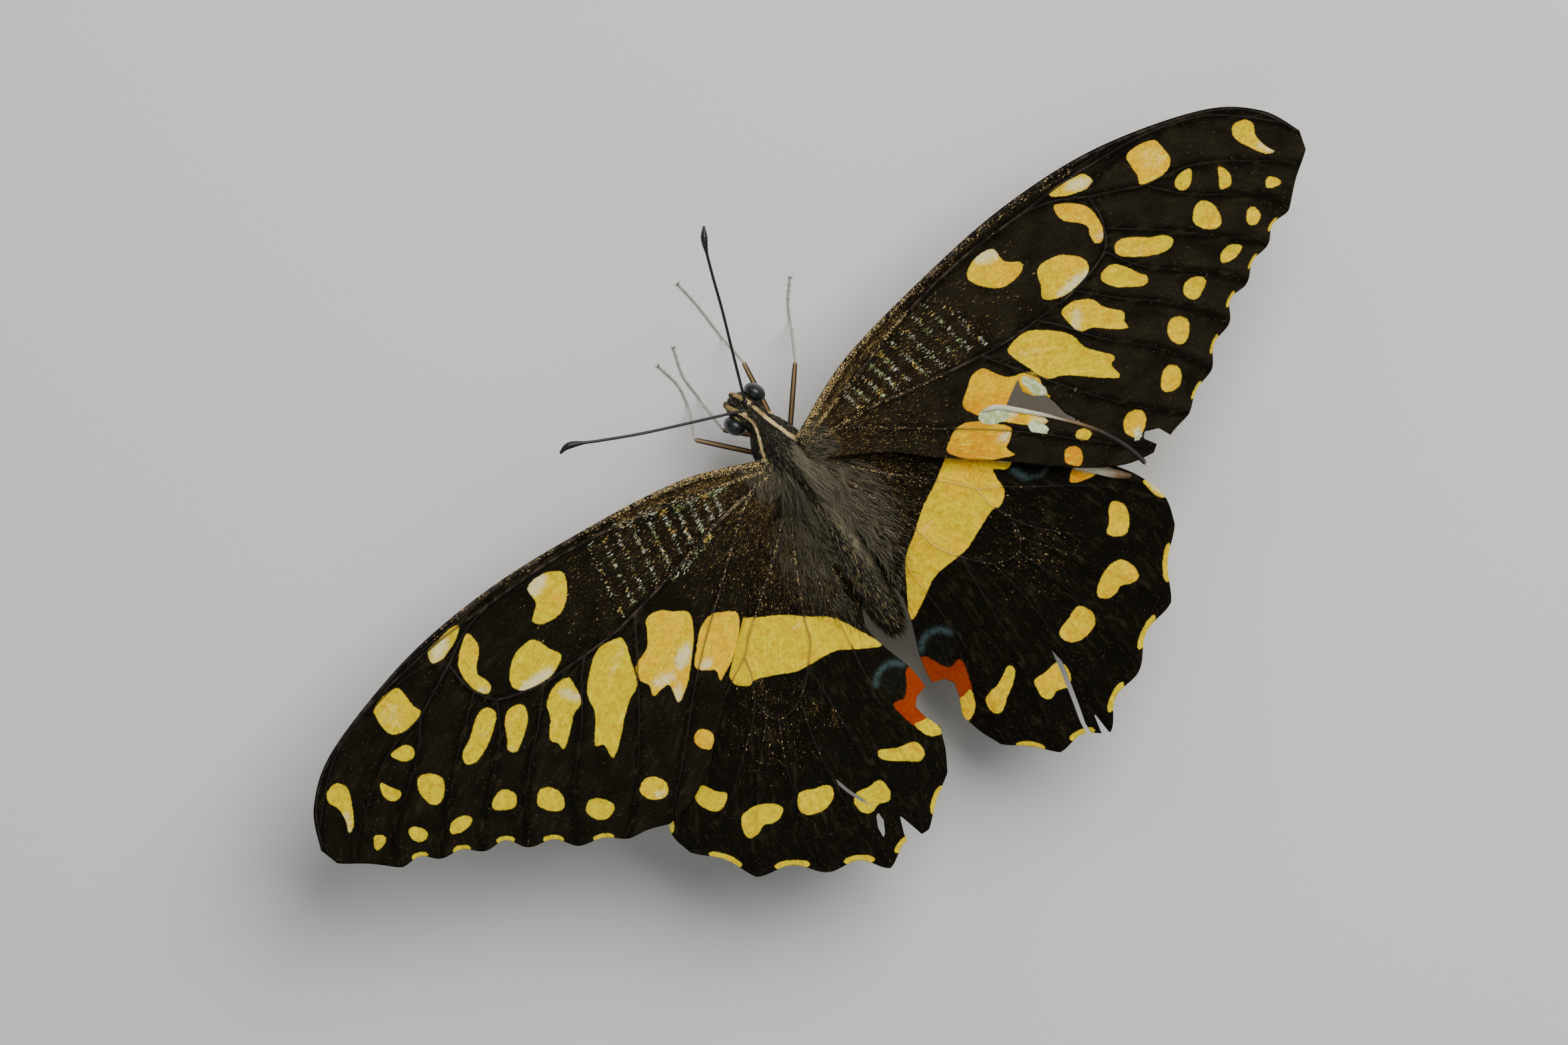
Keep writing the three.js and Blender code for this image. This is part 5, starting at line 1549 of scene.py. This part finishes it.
def eye_material():
    """Polished black with a painted sky reflection that turns it blue towards the top, a green cast, and a
    net of facets.
    """
    made, tree, shader = material("compound_eye", 0.2, 0.35, Coat_Weight=0.35, Coat_Roughness=0.08)
    cells = {"Vector": own_place(tree), "Scale": 1 / (FACET * MM), "Randomness": 0.25}
    facets = node(tree, "ShaderNodeTexVoronoi", cells).outputs["Distance"]
    up = node(tree, "ShaderNodeSeparateXYZ", {0: own_place(tree)}).outputs[2]
    # Painted reflection: bluer towards the top, where the eye would mirror the sky.
    colour = blend(tree, ramp(tree, up, 8.2 * MM, 10.2 * MM), *EYE_BLACK_AND_SKY)
    colour = blend(tree, ramp(tree, noise(tree, 0.8), 0.45, 0.7), colour, EYE_GREEN)
    surface(tree, shader, colour, facets, 0.012, 0.8)
    return made


EYE_FINISH = eye_material()
for side, hand in SIDES:
    low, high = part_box(f"eye_{side}")
    middle = (np.array((low + high) / 2) - HINGE_LINE) / [-MM, -MM, MM]
    points, faces = ball(EYE_HALF)
    make_piece(f"compound_eye_{side}", head_turn(points) + middle, faces, EYE_FINISH, [f"eye_{side}"])

# %% Antennae
ANTENNAE = {
    "right": [(-0.1, 5.35, 10.1), (1.6, 9.9, 12), (3, 13.6, 13.6), (4.1, 16.8, 14.9), (5.1, 19.4, 15.8),
     (6, 20.9, 15.9)],
    "left": [(-0.85, 4.85, 10.1), (-4.6, 6.3, 11.8), (-9.6, 8.3, 13.6), (-13.3, 10, 14.7),
     (-15.8, 11.2, 15.3), (-17, 11.1, 15.2)],
}
ANTENNA_RADIUS, CLUB_RADIUS, SEGMENTS, SOCKET = 0.14, 0.34, 44, (0.24, 0.24, 0.2)
ANTENNA_BLACKS, CLUB_SCALE = ((0.004, 0.0035, 0.003), (0.016, 0.013, 0.011)), (0.40, 0.30, 0.16)


def smooth_step(x, start, end):
    """0 before start, 1 after end, and 3 t^2 - 2 t^3 between."""
    t = np.clip((x - start) / (end - start), 0, 1)
    return t * t * (3 - 2 * t)


def antenna_material():
    """Black and slightly glossy, with pale scales on the underside of the club."""
    made, tree, shader = material("antenna_horn", 0.38, 0.5)
    colour = blend(tree, noise(tree, 0.3), *ANTENNA_BLACKS)
    fleck = use(tree, LOOSE, Where=own_place(tree), Density=field(tree, "pale"), Size=0.1, Dot=0.4)["Mask"]
    surface(tree, shader, blend(tree, fleck, colour, CLUB_SCALE), noise(tree, 0.08), 0.008, 0.5)
    return made


def antenna(points):
    """A rod whose radius swells into the club and dips 8% between every two segments."""
    path = even(spline(points, 400), SEGMENTS * 6 + 1)
    share = shares(path)
    radius = ANTENNA_RADIUS + (CLUB_RADIUS - ANTENNA_RADIUS) * smooth_step(share, 0.84, 0.94)
    radius *= np.sqrt(1 - smooth_step(share, 0.93, 1.0) * 0.85)
    radius *= 1 - 0.08 * (0.5 + 0.5 * np.cos(2 * np.pi * SEGMENTS * share)) ** 4
    rod, faces, along = tube(path, radius, sides=16)
    under = np.clip((np.interp(along, share, path[:, 2]) - rod[:, 2]) / 0.3, 0, 1)
    return rod, faces, {"pale": 0.75 * under * smooth_step(along, 0.82, 0.9)}


ANTENNA_FINISH = antenna_material()
for side, _ in SIDES:
    socket, faces = ball(SOCKET, 14, 18)
    socket = (socket + ANTENNAE[side][0], faces, {"pale": np.zeros(len(socket))})
    points, faces, fields = join([antenna(ANTENNAE[side]), socket])
    nodes = [f"antenna_{side}"]
    make_piece(f"ringed_antenna_{side}", points, faces, ANTENNA_FINISH, nodes, fields)

# %% Palps and tongue
PALP = [(0.62, 0.9, -1.5), (0.62, 1.9, -1.3), (0.48, 1.75, -0.3)]
TONGUE = {"turns": 1.2, "outer": 1.1, "inner": 0.36, "forward": 0.7, "up": -2.75, "radius": 0.2, "rings": 60}


def scaly(name, path, radius, pale_side, slot, node_name, tufts, seed):
    """A fleshy tube, cream where its skin faces pale_side, and scales that stand off it and point to
    its far end."""
    points, faces, share = tube(path, radius, sides=20)
    middle = np.stack([np.interp(share, shares(path), column) for column in path.T], -1)
    out = unit(points - middle + 1e-9)
    cream = 0.9 * (out @ unit(np.array(pale_side, float)) > 0.25)
    make_piece(name, points, faces, SKIN, [node_name],
               {"cream": cream, "pale": np.full(len(points), 0.1)})
    rng = np.random.default_rng(seed)
    pick = rng.integers(20, len(points) - 40, tufts)
    way = unit(np.gradient(path, axis=0))[(share[pick] * (len(path) - 1)).astype(int)]
    lean = rng.normal(0, 0.12, (tufts, 3))
    aside = rng.uniform(-0.5, 0.5, (tufts, 1)) / len(path) * np.linalg.norm(path[-1] - path[0])
    fields = {"cream": cream[pick], "pale": rng.uniform(0, 0.4, tufts), "own": rng.uniform(0, 1, tufts)}
    uv = np.stack([0.9 * share[pick], rng.uniform(0, 0.9, tufts)], -1)
    roots, first = points[pick] - 0.03 * out[pick] + aside * way, out[pick] * 0.6 + way + lean
    hairs(f"{name}_scales", roots, first, way + lean, rng.uniform(0.18, 0.38, tufts), 0.024, fields, uv)


def palp(side, hand, seed):
    """A quadratic Bezier curve from the mouth up in front of the face."""
    root, bend, tip = (head_turn(np.multiply(p, (hand, 1, 1))) + HEAD_AT for p in PALP)
    t = np.linspace(0, 1, 40)[:, None]
    path = (1 - t) ** 2 * root + 2 * t * (1 - t) * bend + t**2 * tip
    radius = 0.22 * (1 - (2 * t[:, 0] - 1) ** 4) ** 0.5 * (1 - 0.45 * t[:, 0] ** 2) + 0.005
    scaly(f"palp_skin_{side}", path, radius, (0.5 * hand, 0.3, -1), "palp", f"palp_{side}", 800, seed)


TONGUE_BROWNS = (0.012, 0.006, 0.003), (0.05, 0.025, 0.012)


def tongue_material():
    made, tree, shader = material("tongue_horn", 0.34, 0.5)
    surface(tree, shader, blend(tree, noise(tree, 0.4), *TONGUE_BROWNS), noise(tree, 0.08), 0.008)
    return made


def tongue():
    """A watch-spring coil: the radius falls evenly from outer to inner while the angle turns."""
    share = np.linspace(0, 1, 160)
    angle = 2 * np.pi * TONGUE["turns"] * share
    coil = TONGUE["outer"] + (TONGUE["inner"] - TONGUE["outer"]) * share
    path = [0 * share, TONGUE["forward"] + coil * np.sin(angle), TONGUE["up"] + coil * np.cos(angle)]
    path = head_turn(np.stack(path, -1)) + HEAD_AT
    rings = 1 - 0.05 * np.cos(2 * np.pi * TONGUE["rings"] * share)
    radius = TONGUE["radius"] * (1 - 0.45 * share) * rings
    points, faces, _ = tube(path, radius, sides=16, sky=head_turn([1.0, 0, 0]))
    make_piece("coiled_tongue", points, faces, tongue_material(), ["proboscis"])


for index, (side, hand) in enumerate(SIDES):
    palp(side, hand, 41 + index)
tongue()

# %% [markdown]
# ## The legs
# Six legs, each with a stout hip piece, a brown thigh striped with gold, a pale shin with two spurs
# and a foot of five segments that ends in a pair of claws. Only the points that each leg passes are
# given, and one function for each part makes the rest. The feet lie on the floor, as the frame's own do.

# %% Where the legs go
LEGS = {  # root, hip, knee and ankle in (side, forward, up), and the foot's line on the floor
    "fore_right": ((1.05, 2.4, 6.9), (1.2, 3.2, 4.9), (1.9, 8.6, 6.9), (1.65, 11.1, 1.1), [(1.6, 12.1),
     (1.41, 15.7), (1.05, 18.25)]),
    "fore_left": ((-1, 1.9, 6.9), (-1.1, 2.3, 4.8), (-3.3, 4.4, 7.1), (-3.48, 7.4, 1.1), [(-3.42, 8.5),
     (-3.5, 10.82), (-2.75, 13.5)]),
    "mid_right": ((1.4, 0.2, 6.9), (1.7, 0.6, 4.8), (5.95, 5.85, 7.3), (7.5, 8.7, 1.1), [(8, 9.7),
     (8.7, 11), (10.1, 12.7)]),
    "mid_left": ((-1.4, 0.2, 6.9), (-1.7, 0.6, 4.8), (-6.04, 5.18, 7.3), (-4.9, 7.6, 1.1), [(-4.6, 8.7),
     (-4.4, 10.6), (-4.9, 12.9)]),
    "hind_right": ((1.3, -2.2, 6.9), (1.7, -2.6, 4.8), (5.6, -5.6, 7.2), (8.4, -11, 1.1), [(8.8, -12),
     (9.6, -14.4), (10.6, -17)]),
    "hind_left": ((-1.3, -2.2, 6.9), (-1.7, -2.6, 4.8), (-5.3, -6, 7.2), (-7.7, -11.6, 1.1), [(-8, -12.6),
     (-8.8, -15), (-9.4, -17.6)]),
}
HIP_RADIUS, THIGH_RADIUS, SHIN_RADIUS, FOOT_RADIUS = 0.32, 0.26, 0.15, 0.13
FOOT_SEGMENTS = (0.44, 0.18, 0.15, 0.11, 0.12)  # their shares of the foot's length
LIMB_STEPS, FOOT_STEPS = 40, 300
print(len(LEGS), "legs with", len(FOOT_SEGMENTS), "foot segments each")

# %% Finishes of thigh and shin
THIGH_BROWN, THIGH_GOLDS = (0.018, 0.010, 0.006), ((0.20, 0.12, 0.05), (0.42, 0.28, 0.12))
SHIN_PALES, CLAW_BROWN = ((0.36, 0.33, 0.27), (0.62, 0.60, 0.52)), (0.02, 0.014, 0.01)


def leg_materials():
    """Brown with a golden stripe along the thigh, and pale shins whose claws are dark."""
    thigh, tree, shader = material("thigh_horn", 0.45, 0.45)
    centre = ramp(tree, calc(tree, "ABSOLUTE", field(tree, "stripe")), 0.25, 0.6, 1, 0)
    gold = blend(tree, noise(tree, 0.5), *THIGH_GOLDS)
    surface(tree, shader, blend(tree, centre, THIGH_BROWN, gold), noise(tree, 0.1), 0.012)
    shin, tree, shader = material("shin_horn", 0.5, 0.4)
    pale = blend(tree, noise(tree, 0.6), *SHIN_PALES)
    surface(tree, shader, blend(tree, field(tree, "dark"), pale, CLAW_BROWN), noise(tree, 0.08), 0.01)
    return thigh, shin


THIGH_FINISH, SHIN_FINISH = leg_materials()
print("materials:", THIGH_FINISH.name, "and", SHIN_FINISH.name)


# %% Limbs, spines and feet
def limb(start, end, radius, belly, bow=0.0):
    """A path bowed upward by bow * sin(pi t), and its radius, thickest at its belly by (t^e (1 - t))^0.3."""
    t = np.linspace(0, 1, LIMB_STEPS)
    path = np.outer(1 - t, start) + np.outer(t, end)
    path[:, 2] += bow * np.sin(np.pi * t)
    power = belly / (1 - belly)
    shape = (t**power * (1 - t)) ** 0.3
    shape = 0.62 + 0.38 * shape / shape.max()
    ends = np.sqrt(np.clip(t / 0.03, 0.02, 1) * np.clip((1 - t) / 0.03, 0.02, 1))
    return path, radius * shape * ends


def spike(at, way, length, radius, bend=(0, 0, 0)):
    """A small cone that may curve towards one side, such as a spur or a claw."""
    t = np.linspace(0, 1, 9)[:, None]
    path = at + length * t * unit(np.asarray(way, float)) + length * t**2 * np.asarray(bend, float)
    return tube(path, radius * (1 - 0.93 * t[:, 0]), sides=8)


SKY = (0, 0, 1)


def foot(line):
    """Segments along a line, each swelling by t^2 to its end, where two small spines point forward."""
    parts, last = [], len(line) - 1
    edges = np.cumsum([0, *FOOT_SEGMENTS])
    for start, end in zip(edges[:-1], edges[1:]):
        piece = line[int(start * last): int(end * last) + 1]
        t = np.linspace(0, 1, len(piece))
        ends = np.sqrt(np.clip(np.minimum(t, 1 - t) / 0.06, 0.02, 1))
        parts.append((*tube(piece, FOOT_RADIUS * (0.62 + 0.38 * t**2) * ends, sides=12), 0.15))
        way = unit(piece[-1] - piece[0])
        aside = np.cross(way, SKY)
        for hand in (RIGHT, LEFT):
            parts.append((*spike(piece[-4] + hand * 0.05 * aside, way + hand * aside * 0.8, 0.3, 0.03), 0.6))
    return parts


def shank(knee, ankle, ground, is_fore):
    """Shin, spurs, foot and claws of one leg as one mesh, with a field that darkens its claws."""
    knee, ankle = np.array(knee), np.array(ankle)
    shin = unit(ankle - knee)
    line = even(spline([ankle, *[(x, y, FOOT_RADIUS) for x, y in ground]], 200), FOOT_STEPS)
    line[:, 2] = np.maximum(line[:, 2], FOOT_RADIUS)
    parts = [(*tube(*limb(knee, ankle, SHIN_RADIUS, 0.6, bow=0.12), sides=16), 0.12), *foot(line)]
    way = unit(line[-1] - line[-12])
    aside = np.cross(way, SKY)
    for hand in (RIGHT, LEFT):
        claw = way * 0.8 + hand * aside * 0.55 + [0, 0, 0.25]
        parts.append((*spike(line[-3], claw, 0.42, 0.055, (0, 0, -0.42)), 1.0))
        spur = shin + hand * 0.5 * unit(np.cross(ankle - knee, SKY))
        parts.append((*spike(ankle + 0.08 * (knee - ankle), spur, 0.75, 0.05), 0.5))
    if is_fore:
        comb = knee + 0.55 * (ankle - knee)
        parts.append((*spike(comb, shin + [0.3, 0, 0], 1.3, 0.09), 0.2))
    return join([(points, faces, {"dark": np.full(len(points), dark)}) for points, faces, _, dark in parts])


print("a limb of 1 mm is", round(limb((0, 0, 0), (1, 0, 0), 0.1, 0.5)[1].max() * 2, 2), "mm thick")

# %% The six legs
for index, (name, (root, hip, knee, ankle, ground)) in enumerate(LEGS.items()):
    outward = (np.sign(hip[0]), 1, 0)
    scaly(f"hip_{name}", *limb(root, hip, HIP_RADIUS, 0.5), outward, "coxa", f"coxa_{name}", 450, 61 + index)
    points, faces, share = tube(*limb(hip, knee, THIGH_RADIUS, 0.35, bow=0.1), sides=16)
    axis = np.outer(1 - share, hip) + np.outer(share, knee)
    stripe = (points - axis) @ unit(np.cross(np.subtract(knee, hip), SKY)) / THIGH_RADIUS
    make_piece(f"thigh_{name}", points, faces, THIGH_FINISH, [f"femur_{name}"], {"stripe": stripe})
    points, faces, fields = shank(knee, ankle, ground, name.startswith("fore"))
    nodes = [f"tibia_{name}", f"tarsus_{name}"]
    make_piece(f"shank_{name}", points, faces, SHIN_FINISH, nodes, fields)

# %% [markdown]
# ## The stage
# The model stands on a plain pale floor. The camera looks straight down on it, turned with the
# animal, from far enough off that the wings keep their proportions. The key light comes from the
# butterfly's own right, as soft daylight does, and a wide fill keeps the shadows open.

# %% Floor, light and camera
FLOOR_HALF, FLOOR_PAINT = 1.5, (0.80, 0.80, 0.78)  # metres, and its colour
LIGHTS = {  # where each is in metres, its size, its power in watts and its colour
    "key": ((-0.28, -0.08, 0.45), 0.42, 3.1, (1, 0.985, 0.95)),
    "fill": ((0.35, 0.15, 0.40), 0.45, 0.35, (0.93, 0.97, 1)),
    "front": ((0.0, -0.45, 0.35), 0.35, 0.35, (1, 1, 1)),
}
SKY_COLOUR, SKY_STRENGTH = (0.85, 0.92, 1), 0.18


def floor():
    """One square under the animal, painted pale."""
    corners = [(x * FLOOR_HALF, y * FLOOR_HALF, 0) for x, y in ((-1, -1), (1, -1), (1, 1), (-1, 1))]
    mesh = bpy.data.meshes.new("floor")
    mesh.from_pydata(corners, [], [(0, 1, 2, 3)])
    made, tree, shader = material("floor_paint", 0.9, 0.1)
    surface(tree, shader, FLOOR_PAINT)
    mesh.materials.append(made)
    piece = bpy.data.objects.new("floor", mesh)
    bpy.context.scene.collection.objects.link(piece)


def area_light(name, at, size, power, colour):
    """A square light that faces the middle of the butterfly."""
    data = bpy.data.lights.new(name, "AREA")
    data.size, data.energy, data.color = size, power, colour
    light = bpy.data.objects.new(name, data)
    light.location = at
    light.rotation_euler = (-light.location).to_track_quat("-Z", "Y").to_euler()
    bpy.context.scene.collection.objects.link(light)


CAMERA_HEIGHT, FRAME_WIDTH, SHARP_AT = 810, 145.886, 15  # mm above SHARP_AT, and width seen there
CAMERA_OVER, CAMERA_TURN = (-3.51, -6.01), 145.4
SENSOR, CLIP = 36, (0.05, 10)


def camera():
    """A long lens, level above the animal: its focal length is sensor * height / width seen."""
    data = bpy.data.cameras.new("camera")
    data.sensor_width = SENSOR
    data.lens = SENSOR * CAMERA_HEIGHT / FRAME_WIDTH
    data.clip_start, data.clip_end = CLIP
    piece = bpy.data.objects.new("camera", data)
    piece.location = place([*CAMERA_OVER, CAMERA_HEIGHT + SHARP_AT])
    piece.rotation_euler = (0, 0, np.radians(CAMERA_TURN))
    bpy.context.scene.collection.objects.link(piece)
    bpy.context.scene.camera = piece


floor()
for name, settings in LIGHTS.items():
    area_light(name, *settings)
world = bpy.data.worlds.new("studio")
world.use_nodes = True
background = world.node_tree.nodes["Background"]
background.inputs["Color"].default_value = (*SKY_COLOUR, 1)
background.inputs["Strength"].default_value = SKY_STRENGTH
bpy.context.scene.world = world
camera()
print("camera lens", round(bpy.context.scene.camera.data.lens, 1))
